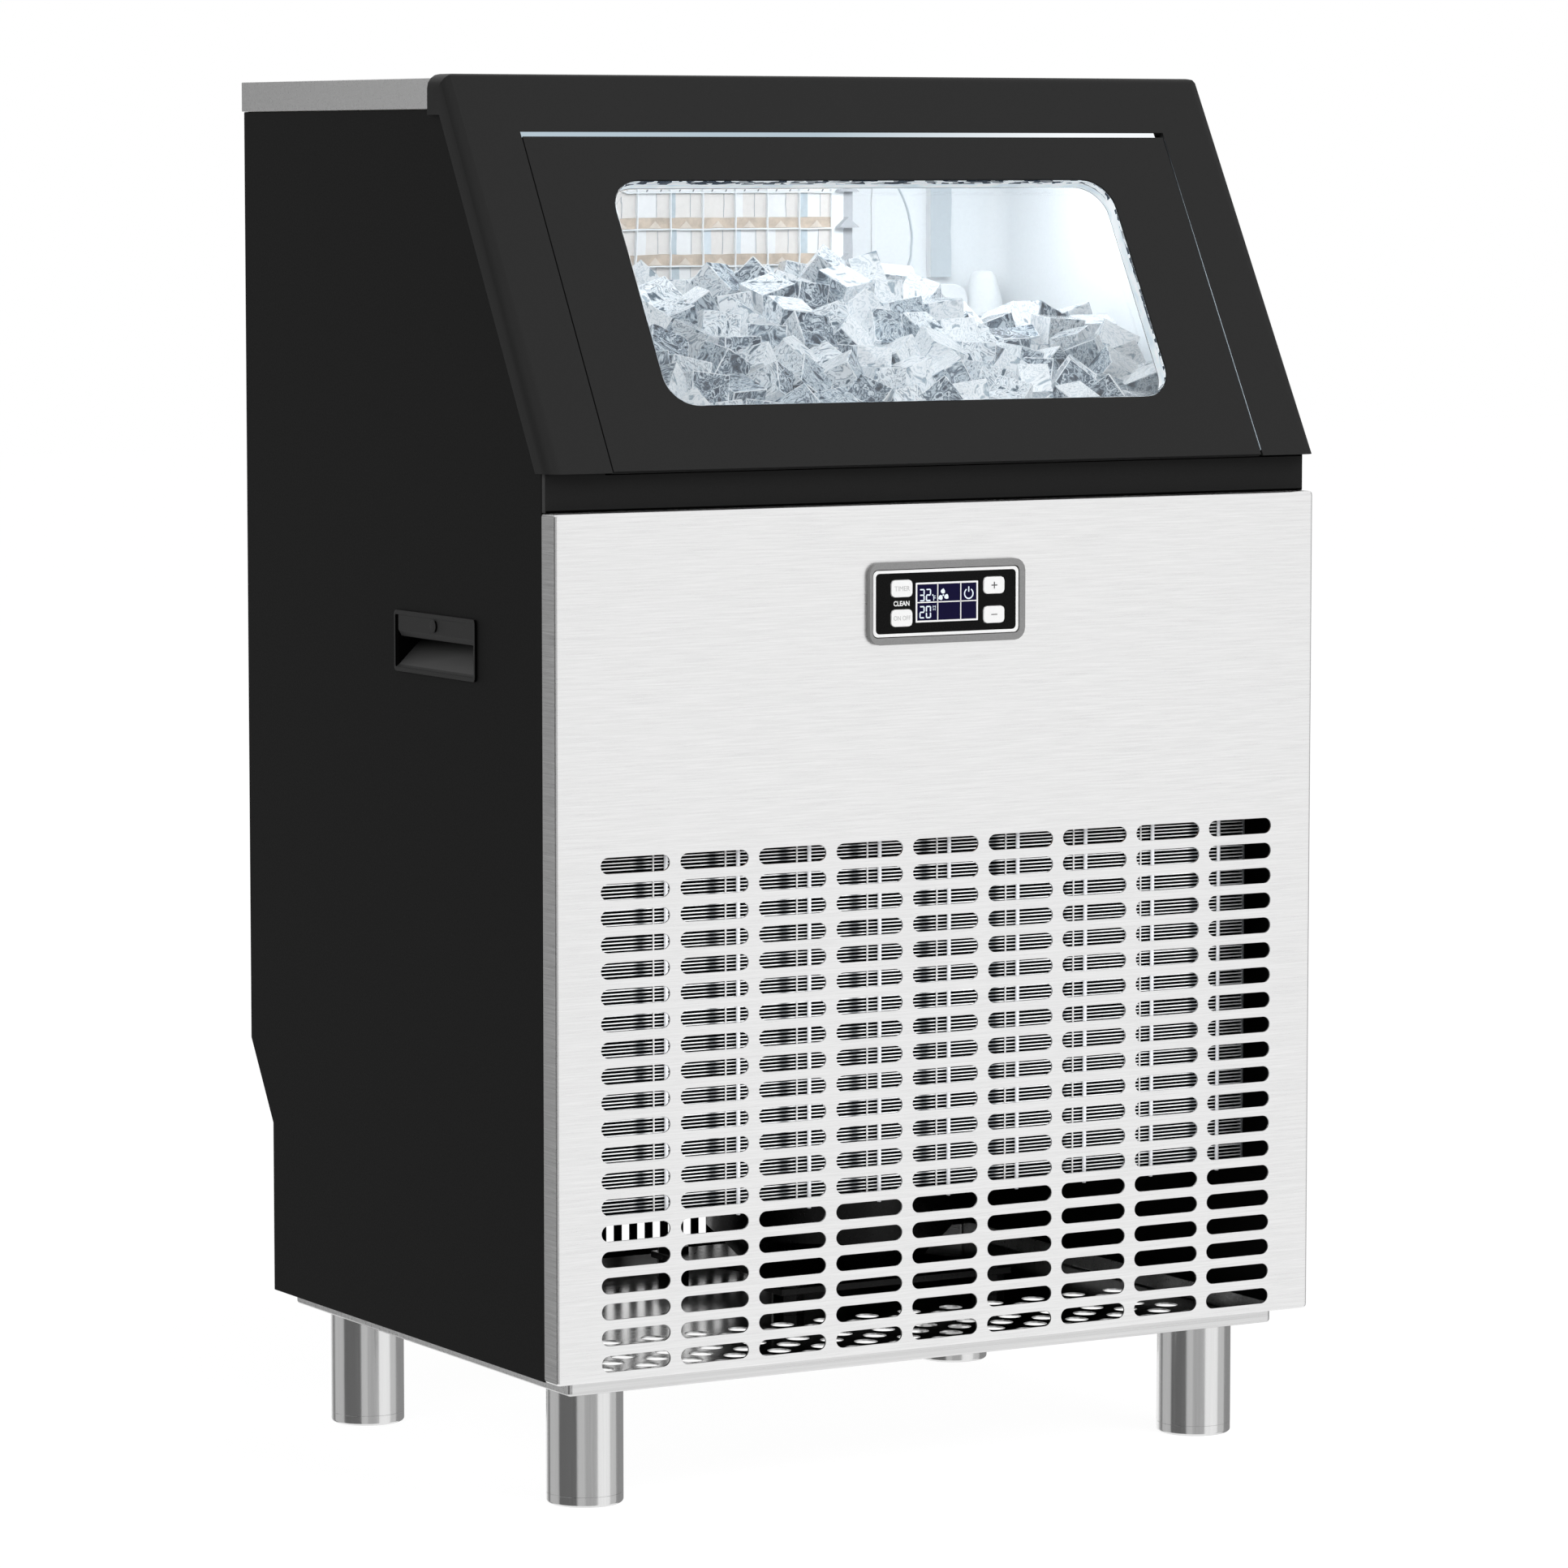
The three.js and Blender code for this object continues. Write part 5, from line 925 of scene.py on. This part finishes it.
def numeral(bm, digit, x, z, wide, high, thick):
    """A seven-segment numeral with its lower left corner at x, z."""
    half, t = high / 2, thick / 2
    for part in SEGMENTS[digit]:
        if part in "adg":
            level = {"a": z + high - t, "g": z + half, "d": z + t}[part]
            left, right = x + 0.25, x + wide - 0.25
            pairs = [(left, level), (left + t, level + t), (right - t, level + t), (right, level),
                     (right - t, level - t), (left + t, level - t)]
        else:
            column = x + t if part in "ef" else x + wide - t
            low, top = (half, high) if part in "bf" else (0, half)
            low, top = z + low + 0.2, z + top - 0.2
            pairs = [(column, low), (column + t, low + t), (column + t, top - t), (column, top),
                     (column - t, top - t), (column - t, low + t)]
        flat_shape(bm, pairs)


def sector(x, z, inner, outer, first, last, steps=24):
    angles = [math.radians(first + (last - first) * i / steps) for i in range(steps + 1)]
    far = [(x + outer * math.cos(a), z + outer * math.sin(a)) for a in angles]
    near = [(x + inner * math.cos(a), z + inner * math.sin(a)) for a in reversed(angles)]
    return far + near


def fan_blade(x, z, turn):
    """One leaf of the fan sign, from its hub outwards and back."""
    a = math.radians(turn)
    blade = []
    for side in (1, -1):
        for i in range(9):
            t = i / 8 if side > 0 else 1 - i / 8
            reach = 0.8 + 3.0 * t
            swell = math.sin(math.pi * t)
            spread = side * 1.4 * math.sin(math.pi * t ** 0.8) ** 0.75 + 0.35 * swell
            blade.append((x + reach * math.cos(a) - spread * math.sin(a),
                          z + reach * math.sin(a) + spread * math.cos(a)))
    return blade[:-1]


def display():
    z = DISPLAY_Z
    bm = bmesh.new()
    for x0, x1, high, line, radius, inner, steps in ((-47.9, 47.9, 18.7, 1.7, 3.0, 2.4, 5),
                                                     (-20.1, 21.0, 11.2, 1.0, 0.3, 0.2, 2)):
        low_z, high_z = z - high, z + high
        plate(bm, growing(x0, x1, low_z, high_z, radius, steps, False),
              [growing(x0 + line, x1 - line, low_z + line, high_z - line, inner, steps, False)],
              PRINT[0], 0.14, 0.03)
    for x in (-5.6, 9.6):
        flat_box(bm, x - 0.3, x + 0.3, z - 10.4, z + 10.4)
    flat_box(bm, -19.3, 20.2, z - 0.3, z + 0.3)
    place("display_frame_lines", bm, "ink_white", "display_panel", False)

    bm = bmesh.new()
    for number, first in (("32", 0.6), ("20", -9.0)):
        for i, digit in enumerate(number):
            numeral(bm, digit, -17.6 + 4.2 * i, z + first, 3.4, 7.0, 0.75)
    flat_shape(bm, circle(-8.9, z + 4.0, 0.45, 12))
    for letter, x, rise, wide, high in (("F", -7.7, 2.2, 1.5, 2.8), ("M", -7.9, -2.6, 1.8, 1.2),
                                        ("H", -7.9, -4.1, 1.5, 1.2)):
        letters(bm, letter, x, z + rise, wide, high, sum(PRINT) / 2)
    for turn in (90, 210, 330):
        flat_shape(bm, fan_blade(-1.9, z + 3.7, turn))
    flat_shape(bm, circle(-1.9, z + 3.7, 0.5, 16))
    flat_shape(bm, sector(14.9, z + 4.1, 2.45, 3.15, 122, 418))
    flat_box(bm, 14.55, 15.25, z + 5.1, z + 8.1)
    place("display_symbols", bm, "lit", "display_screen", False)

    bm = bmesh.new()
    letters(bm, "CLEAN", -29.4, z - 0.1, 10.4, 2.9, PLATE_Y - 0.05, 0.022)
    place("display_word", bm, "ink_white", "display_panel", False)
    for node, words, x, rise, width, high, look in (
            ("button_timer", "TIMER", -29.35, 8.3, 10.0, 2.7, "ink_pale"),
            ("button_power", "ON OFF", -29.35, -8.3, 11.0, 2.6, "ink_pale"),
            ("button_plus", "+", 31.5, 8.3, 3.8, 3.8, "ink_dark"),
            ("button_minus", "-", 31.5, -8.3, 4.0, 0.5, "ink_dark")):
        bm = bmesh.new()
        letters(bm, words, x, z + rise, width, high, BUTTON_Y - 0.04)
        place(node + "_mark", bm, look, node, False)


display()


# Legs and levelling feet
LEG_RADIUS = 21.8
LEG_LOW, LEG_HIGH = 6.0, 67.7
BOLT_THREAD = 1.95


def legs():
    tube = [(20.4, LEG_LOW + 1), (20.6, LEG_LOW), (21.7, LEG_LOW), (LEG_RADIUS, LEG_LOW + 0.1),
            (LEG_RADIUS, LEG_HIGH), (14, LEG_HIGH), (14, LEG_HIGH - 1.5), (20.4, LEG_HIGH - 1.5),
            (20.4, LEG_LOW + 1)]
    foot = [(0, 0), (20.1, 0)]
    foot += [(20.1 + 1.7 * sine, 1.7 - 1.7 * cosine) for sine, cosine in quarter(6)[1:]]
    foot += [(LEG_RADIUS, 5.85), (21.7, 5.95), (19, 5.95), (11, 5.95), (11, 13.8), (10.4, 14.4),
             (6, 14.4)]
    for turn in range(22):
        z = 15 + turn * BOLT_THREAD
        foot += [(6, z), (5.3, z + 0.98)]
    foot += [(6, 58.5), (5.4, 59), (0, 59)]
    for side, x in (("left", -205), ("right", 205)):
        for row, y in (("front", -141.3), ("rear", 132.1)):
            for kind, profile, sides in (("leg", tube, 64), ("foot", foot, 48)):
                bm = bmesh.new()
                lathe(bm, profile, (x, y, 0), sides=sides)
                place(f"{kind}_{row}_{side}_skin", bm, "satin", f"{kind}_{row}_{side}")


legs()


# Condenser: thin level fins between end plates, three rows of upright tubes
TUBE_X = [TUBE_FIRST + TUBE_STEP * i for i in range(9)]
FIN_COUNT = 103
FIN_HALF = 0.34


def condenser():
    bm = bmesh.new()
    bottom, top = up(82.6), up(292)
    pitch = (top - bottom) / FIN_COUNT
    pick = random.Random(8)
    for i in range(FIN_COUNT):
        z = bottom + pitch * (i + 0.5) + pick.uniform(-0.08, 0.08)
        made = add_box(bm, -220.5, 220.5, back(27.4), back(60.6), z - FIN_HALF, z + FIN_HALF)
        lips = {e for v in made for e in v.link_edges
                if abs(e.verts[0].co.x - e.verts[1].co.x) > 0.1
                and e.verts[0].co.y + e.verts[1].co.y < back(30) * 2 * MM}
        bmesh.ops.bevel(bm, geom=list(lips), offset=0.16 * MM, segments=1, affect="EDGES")
    mesh = finished(bm, "condenser_fin_pack")
    # The fins' flat faces between their edges are dark: painted shade between the fins
    sort_faces(mesh, lambda face: abs(face.normal.z) > 0.9)
    place("condenser_fin_pack", mesh, ("fin", "fin_dark"), "condenser_fins")
    bm = bmesh.new()
    for x0, x1 in ((-222, -220.5), (220.5, 222)):
        add_box(bm, x0, x1, back(27), back(61), up(83), up(292))
    round_edges(bm, 0.3)
    place("condenser_end_plates", bm, "zinc", "condenser_fins", False)
    tops, front = up(296), back(25.6)
    tubes, rods, header = bmesh.new(), bmesh.new(), bmesh.new()
    for x in TUBE_X:
        tube_mesh(tubes, [(x, front, up(81.9)), (x, front, tops)], 1.15, 16)
        tube_mesh(tubes, [(x, back(44), up(84)), (x, back(44), tops)], 1.7)
        tube_mesh(rods, [(x - 7.3, back(26.9), up(84)), (x - 7.3, back(26.9), tops)], 0.5)
    tube_mesh(header, [(-222, front, up(297)), (222, front, up(297))], 2.6, 14)
    place("condenser_tube_rows", tubes, "tube", "condenser_tubes")
    place("condenser_rods", rods, "tube_grey", "condenser_tubes", False)
    place("condenser_header", header, "copper", "condenser_tubes", False)


condenser()


# Base pan: brushed sheet with staggered round holes and a folded rim
HOLE_STEP = 29
HOLE_RADIUS = 6.9


def base_pan():
    holes = []
    for row in range(8):
        for column in range(15):
            x = HOLE_STEP * (column - 7.25 + (0.5 if row % 2 else 0))
            y = back(47 + 14.3 * row)
            holes.append(lambda grow, x=x, y=y: circle(x, y, HOLE_RADIUS + grow, 20))
    x0, x1, y0, y1, z0, z1 = box_of("base_pan")
    bm = bmesh.new()
    folded_sheet(bm, (x0, x1, y0, y1, z1 - z0 - 10), holes, z0, FLAT, 0.2, 2, 5,
                 ((SHEET, 2.6), (2, 1.5)), 2.6, 0.6)
    mesh = finished(bm, "base_pan_skin", 40)
    place("base_pan_skin", mesh, ("pan", "pan_floor"), "base_pan")
    sort_faces(mesh, lambda face: face.normal.z > 0.9 and face.center.z < (z0 + 2) * MM)


base_pan()


# Evaporator: white divider grid before moulded cells, copper bands over each row. The thick
# pane lifts what is seen through it, so its lines lie a little lower than they look
CELL_WIDE, CELL_HIGH = 22.1, 21.6
GRID_LEFT, GRID_DOWN = 1.9, 3.5
GRID_X = [332.2 - PANEL_HALF - GRID_LEFT - CELL_WIDE * k for k in range(12)]
GRID_Z = [up(653.1) - GRID_DOWN - CELL_HIGH * k for k in range(7)]


def evaporator():
    x0, x1, y0, y1, z0, z1 = box_of("evaporator_grid")
    top_line = z1 - 3.1
    right = x1 - 12.8 - GRID_LEFT
    rear = y1 - 0.4
    lines = [z for z in GRID_Z if z > z0 + 1]
    bars = bmesh.new()
    columns = sorted(x for x in GRID_X if x0 + 1 < x < right)
    for x in columns:
        add_box(bars, x - 0.31, x + 0.31, y0, rear, z0, top_line)
    for z in lines:
        add_box(bars, x0, x1 - 6, y0 + 0.3, rear, z - 0.42, z + 0.42)
    add_box(bars, x0, x1 - 6, y0, rear, top_line - 1.0, top_line)
    add_box(bars, x0, x0 + 1.2, y0, rear, z0, top_line)
    add_box(bars, right, x1 - 6.5, y0 + 0.2, rear, z0, top_line)
    add_box(bars, x0, x1, y0 + 2.2, rear, top_line, z1)
    place("evaporator_dividers", bars, "white", "evaporator_grid")

    cells, bands, ticks, ends = (bmesh.new() for kind in range(4))
    lefts = [x0 + 1.2] + [x + 0.31 for x in columns]
    rights = [x - 0.31 for x in columns] + [right]
    levels = [top_line - 1.0] + [z - 0.5 for z in lines]
    floors = [z + 0.5 for z in lines] + [z0]
    pick = random.Random(4)

    def strip(a, b, low_z, high_z, depth, slot):
        made = add_box(cells, a, b, y0 + depth, rear, low_z, high_z)
        for face in {f for v in made for f in v.link_faces}:
            face.material_index = slot

    for column, (a, b) in enumerate(zip(lefts, rights)):
        wide = b - a
        if wide < 3:
            continue
        for top, floor in zip(levels, floors):
            if top == levels[0]:
                strip(a, b, floor, top, 2.2, 3)
                for tick in (a + wide * 0.28, a + wide * 0.72):
                    prism(ticks, [(tick, floor), (tick + 0.8, floor), (tick + 2.0, floor + 2.4),
                                  (tick + 1.2, floor + 2.4)], y0 + 1.9, y0 + 2.4, ACROSS)
                continue
            edge = a + wide * pick.uniform(0.17, 0.33)
            line = a + wide * pick.uniform(0.6, 0.7)
            shade = 1 if column % 4 == 3 else pick.choice((2, 2, 3, 3, 0))
            strip(a, edge, floor + 6.4, top, 2.2, shade)
            strip(edge, line, floor + 6.4, top, 2.5, pick.choice((3, 0)))
            strip(line, b, floor + 6.4, top, 2.4, 0 if column else 4)
            strip(line - 0.13, line + 0.13, floor + 6.8, top - 0.3, 2.2, 5)
            add_box(bands, a, b, y0 + 1.6, rear, floor, floor + 6.3)
            left = a + wide * pick.uniform(0.2, 0.36)
            trio = [(left, floor + 0.4), (left + 8.5, floor + 0.4), (left + 4.4, floor + 4.6)]
            for face in prism(bands, trio, y0 + 1.1, y0 + 1.8, ACROSS):
                face.material_index = 1
    add_box(ends, x1 - 6.4, x1, y0 + 0.4, rear, z0, top_line)
    for z in lines:
        prism(ends, [(x1 - 12.5, z + 0.4), (x1 + 2.0, z + 0.4), (x1 - 5.5, z + 6.6)], y0 - 4.5,
              y0 + 6, ACROSS)
    tones = ("cell", "cell_grey", "cell_blue", "cell_white", "cell_shade", "seam_grey")
    for name, bm, look in (("cells", cells, tones), ("bands", bands, ("band", "wedge")),
                           ("slots", ticks, "slot_grey"), ("end", ends, "end_grey")):
        place("evaporator_" + name, bm, look, "evaporator_grid", False)


evaporator()


# Ice: a bed with hundreds of clear cubes tumbled over it. The crest is where its top is seen,
# as distances from the front panel's left edge and heights over its lower edge
CREST = [(155.9, 606.3), (183.3, 602.3), (215.8, 610), (242.6, 614.6), (262.4, 606.8),
         (282.3, 622.3), (298.9, 615.6), (321.3, 613.9), (339.2, 598), (357.3, 587), (378.8, 578),
         (395, 576), (411.4, 588), (430.9, 581.1), (470.9, 582.5)]
CREST_Y = -3.5
# Height of the heap at the door, how far cubes rise over its surface, its fall to the rear
# and how far under its surface the bed lies
HEAP_FRONT = 527
CUBE_RISE = 6
REAR_FALL = 0.25
BED_DEPTH = 30
CUBE = 24.0
CUBE_SPACING = 25
WALL_GAP = 17


def heap_height(x, y, y0):
    """Top of the heap: up from the door to the crest, then slowly down to the rear."""
    crest = np.interp(x, [c[0] - PANEL_HALF for c in CREST], [up(c[1]) for c in CREST])
    share = np.clip((y - y0) / (CREST_Y - y0), 0, 1)
    front = up(HEAP_FRONT)
    slope = front + (crest - CUBE_RISE - front) * share ** 0.9
    return slope - np.clip(y - CREST_Y, 0, 200) * REAR_FALL


def cube_places(rng, x0, x1, y0, y1):
    cubes = []
    for drop in (9, 27):
        for x in np.arange(x0 + 12, x1 - 11, 24.0):
            for y in np.arange(y0 + 12, y1 - 11, 23.0):
                px, py = x + rng.uniform(-6, 6), y + rng.uniform(-6, 6)
                cubes.append([px, py, heap_height(px, py, y0) - drop + rng.uniform(-6, 5)])
    cubes = np.array(cubes)
    # Push apart cubes that sit too close
    for turn in range(20):
        shift = np.zeros_like(cubes)
        for i in range(len(cubes)):
            gap = cubes[i] - cubes
            far = np.linalg.norm(gap, axis=1)
            near = (far < CUBE_SPACING) & (far > 1e-6)
            if near.any():
                push = (CUBE_SPACING - far[near])[:, None]
                shift[i] = (gap[near] / far[near, None] * push).sum(0) * 0.3
        cubes += shift
        cubes[:, 0] = np.clip(cubes[:, 0], x0 + WALL_GAP, x1 - WALL_GAP)
        cubes[:, 1] = np.clip(cubes[:, 1], y0 + WALL_GAP, y1 - WALL_GAP)
        top = heap_height(cubes[:, 0], cubes[:, 1], y0) - CUBE_RISE
        cubes[:, 2] = np.minimum(cubes[:, 2], top)
    return cubes


def ice_cubes(rng, cubes):
    # One rounded cube, of edge 1, repeated at every place
    bm = bmesh.new()
    bmesh.ops.create_cube(bm, size=1)
    bmesh.ops.bevel(bm, geom=bm.edges[:], offset=0.03, segments=2, profile=0.6, affect="EDGES")
    bmesh.ops.recalc_face_normals(bm, faces=bm.faces)
    shape = np.array([v.co[:] for v in bm.verts])
    faces = [[v.index for v in f.verts] for f in bm.faces]
    rims = np.array([f.calc_area() < 0.3 for f in bm.faces])
    bm.free()
    verts, polys, tones = [], [], []
    pick = random.Random(5)
    for number, spot in enumerate(cubes):
        axis = Vector((pick.uniform(-1, 1), pick.uniform(-1, 1), pick.uniform(-1, 1))).normalized()
        turn = np.array(Matrix.Rotation(pick.uniform(0, 6.28), 3, axis))
        edge = CUBE * pick.uniform(0.88, 1.04)
        scale = np.array([edge, edge, edge * pick.uniform(0.8, 1)])
        verts.append((shape * scale) @ turn.T + spot)
        polys += [[i + number * len(shape) for i in face] for face in faces]
        # Painted shade: darker faces are commoner at the left and low down
        gloom = np.clip(0.5 - spot[0] / 460 + (up(560) - spot[2]) / 200, 0, 1)
        odds = np.array([0.52 - 0.30 * gloom, 0.26, 0.12 + 0.12 * gloom, 0.10 + 0.26 * gloom])
        chosen = rng.choice(4, len(rims), p=odds / odds.sum())
        tones.append(np.where(rims, 4, chosen))
    mesh = bpy.data.meshes.new("ice_cubes")
    mesh.from_pydata((np.concatenate(verts) * MM).tolist(), [], polys)
    mesh.shade_smooth()
    mesh.set_sharp_from_angle(angle=math.radians(24))
    mesh.polygons.foreach_set("material_index", np.concatenate(tones))
    heap = place("ice_cubes", mesh, tuple(ICE_TONES), "ice_heap")
    heap.visible_shadow = False


def ice():
    rng = np.random.default_rng(11)
    x0, x1, y0, y1, z0, z1 = box_of("ice_heap")
    x0, x1, y0, y1 = x0 + 1, x1 - 1, y0 + 1, y1 - 1
    ice_cubes(rng, cube_places(rng, x0, x1, y0, y1))
    # The bed under the cubes that can be seen
    bm = bmesh.new()
    columns, rows = 46, 24
    grid = []
    for j in range(rows + 1):
        y = y0 + (y1 - y0) * j / rows
        grid.append([])
        for i in range(columns + 1):
            x = x0 + (x1 - x0) * i / columns
            z = heap_height(x, y, y0) - BED_DEPTH + 4 * math.sin(i * 1.7 + j * 2.3)
            grid[-1].append(bm.verts.new(Vector((x, y, z)) * MM))
    for j in range(rows):
        for i in range(columns):
            bm.faces.new((grid[j][i], grid[j][i + 1], grid[j + 1][i + 1], grid[j + 1][i]))
    rim = [e for e in bm.edges if e.is_boundary]
    skirt = bmesh.ops.extrude_edge_only(bm, edges=rim)["geom"]
    for vert in (g for g in skirt if isinstance(g, bmesh.types.BMVert)):
        vert.co.z = z0 * MM
    bmesh.ops.contextual_create(bm, geom=[e for e in bm.edges if e.is_boundary])
    place("ice_bed", bm, "ice_bed", "ice_heap", False, 60)


ice()


# Remaining nodes keep their own form and get their finish
kept = {
    "foam": ("bin_insulation",),
    "zinc": ("machine_deck",),
    "copper": ("evaporator_plate", "evaporator_coil", "filter_drier", "discharge_tube"),
    "white": ("water_distributor", "water_trough"),
    "sheet": ("fan_shroud", "display_housing"),
    "motor": ("fan_motor", "fan_rotor"),
    "compressor": ("compressor", "compressor_base"),
    "grey": ("control_box", "drain_outlet"),
    "bezel": ("display_bezel",),
    "black": ("display_panel",),
    "navy": ("display_screen",),
    "board": ("control_board",),
    "button": ("button_timer", "button_power", "button_plus", "button_minus"),
    "brass": ("water_inlet",),
    "rubber": ("cord_gland",),
    "satin": ("hinge_pin_left", "hinge_pin_right"),
}
for look, members in kept.items():
    for node in members:
        dressed(node, look, 0.3)


# Studio: a white floor that keeps a faint shadow, white surroundings, cards that shade the steel
def studio_thing(name, mesh, look, hidden):
    """A thing of the studio, put in the scene and hidden from the named kinds of rays."""
    mesh.materials.append(look)
    made = bpy.data.objects.new(name, mesh)
    scene.collection.objects.link(made)
    for kind in hidden:
        setattr(made, "visible_" + kind, False)
    return made


def seen_by(tree, *kinds):
    """One for the kinds of rays that are named, nought for all others."""
    path = tree.nodes.new("ShaderNodeLightPath")
    value = path.outputs[kinds[0]]
    for kind in kinds[1:]:
        value = compute(tree, "MAXIMUM", value, path.outputs[kind])
    return value


def emptied(name):
    """A new material with nothing but its output, and that output's surface socket."""
    look = bpy.data.materials.new(name)
    look.use_nodes = True
    look.node_tree.nodes.clear()
    out = look.node_tree.nodes.new("ShaderNodeOutputMaterial")
    return look, look.node_tree, out.inputs["Surface"]


def surroundings():
    world = bpy.data.worlds.new("surroundings")
    scene.world = world
    world.use_nodes = True
    tree = world.node_tree
    ground = tree.nodes["Background"]
    ground.inputs["Color"].default_value = (1, 1, 1, 1)
    seen = seen_by(tree, "Is Camera Ray", "Is Glossy Ray", "Is Transmission Ray")
    tree.links.new(remap(tree, seen, 0.55, 1.0), ground.inputs["Strength"])


def white_floor():
    look, tree, surface = emptied("floor")
    plain = tree.nodes.new("ShaderNodeBsdfDiffuse")
    glow = tree.nodes.new("ShaderNodeEmission")
    both = tree.nodes.new("ShaderNodeAddShader")
    seen = seen_by(tree, "Is Camera Ray", "Is Glossy Ray")
    tree.links.new(remap(tree, seen, 0.8, 0.13), plain.inputs["Color"])
    tree.links.new(remap(tree, seen, 0.0, 0.93), glow.inputs["Strength"])
    tree.links.new(plain.outputs[0], both.inputs[0])
    tree.links.new(glow.outputs[0], both.inputs[1])
    tree.links.new(both.outputs[0], surface)
    bm = bmesh.new()
    bmesh.ops.create_grid(bm, x_segments=1, y_segments=1, size=12)
    mesh = bpy.data.meshes.new("floor")
    bm.to_mesh(mesh)
    bm.free()
    floor = studio_thing("floor", mesh, look, ("glossy",))


def lamp(name, spot, target, size, power):
    data = bpy.data.lights.new(name, "AREA")
    data.shape = "RECTANGLE"
    data.size, data.size_y = size
    data.energy = power
    made = bpy.data.objects.new(name, data)
    made.location = spot
    made.rotation_euler = (Vector(target) - Vector(spot)).to_track_quat("-Z", "Y").to_euler()
    scene.collection.objects.link(made)
    for kind in ("camera", "glossy", "transmission"):
        setattr(made, "visible_" + kind, False)


CARD_RADIUS = 3.0


def card(name, first, last, level):
    """An upright band between two headings that is seen in reflections only."""
    look, tree, surface = emptied(name)
    glow = tree.nodes.new("ShaderNodeEmission")
    glow.inputs["Color"].default_value = (*grey(level), 1)
    tree.links.new(glow.outputs[0], surface)
    steps = max(2, int(abs(last - first) / 6))
    verts, faces = [], []
    for i in range(steps + 1):
        a = math.radians(first + (last - first) * i / steps)
        for z in (-2.0, 2.2):
            verts.append((math.sin(a) * CARD_RADIUS, -math.cos(a) * CARD_RADIUS, z))
        if i:
            faces.append((2 * i - 2, 2 * i, 2 * i + 1, 2 * i - 1))
    mesh = bpy.data.meshes.new(name)
    mesh.from_pydata(verts, [], faces)
    made = studio_thing(name, mesh, look,
                        ("camera", "diffuse", "transmission", "shadow", "volume_scatter"))


surroundings()
white_floor()
BAY = (-0.008, back(19) * MM, up(188) * MM)
lamp("key", (1.2, -2.6, 2.4), (0, 0, 0.45), (2.0, 1.6), 55)
lamp("fill", (-2.6, -1.6, 1.8), (0, 0, 0.45), (2.0, 1.6), 30)
lamp("bin_light", (0.0, -0.005, 0.762), (0.0, 0.07, 0.50), (0.42, 0.09), 0.42)
lamp("bin_side_light", (0.15, 0.0, 0.762), (0.23, 0.06, 0.62), (0.12, 0.10), 0.13)
lamp("bay_light", BAY, (BAY[0], 1, BAY[2]), (0.42, 0.20), 0.4)
for index, row in enumerate((
        (-176, -163, 0.60), (-163, -149, 0.24), (-149, -107, 0.55), (-107, -51, 0.15),
        (-51, -30, 0.60), (-30, 6, 0.45), (48, 76, 0.62), (76, 150, 0.30))):
    card(f"card_{index}", *row)
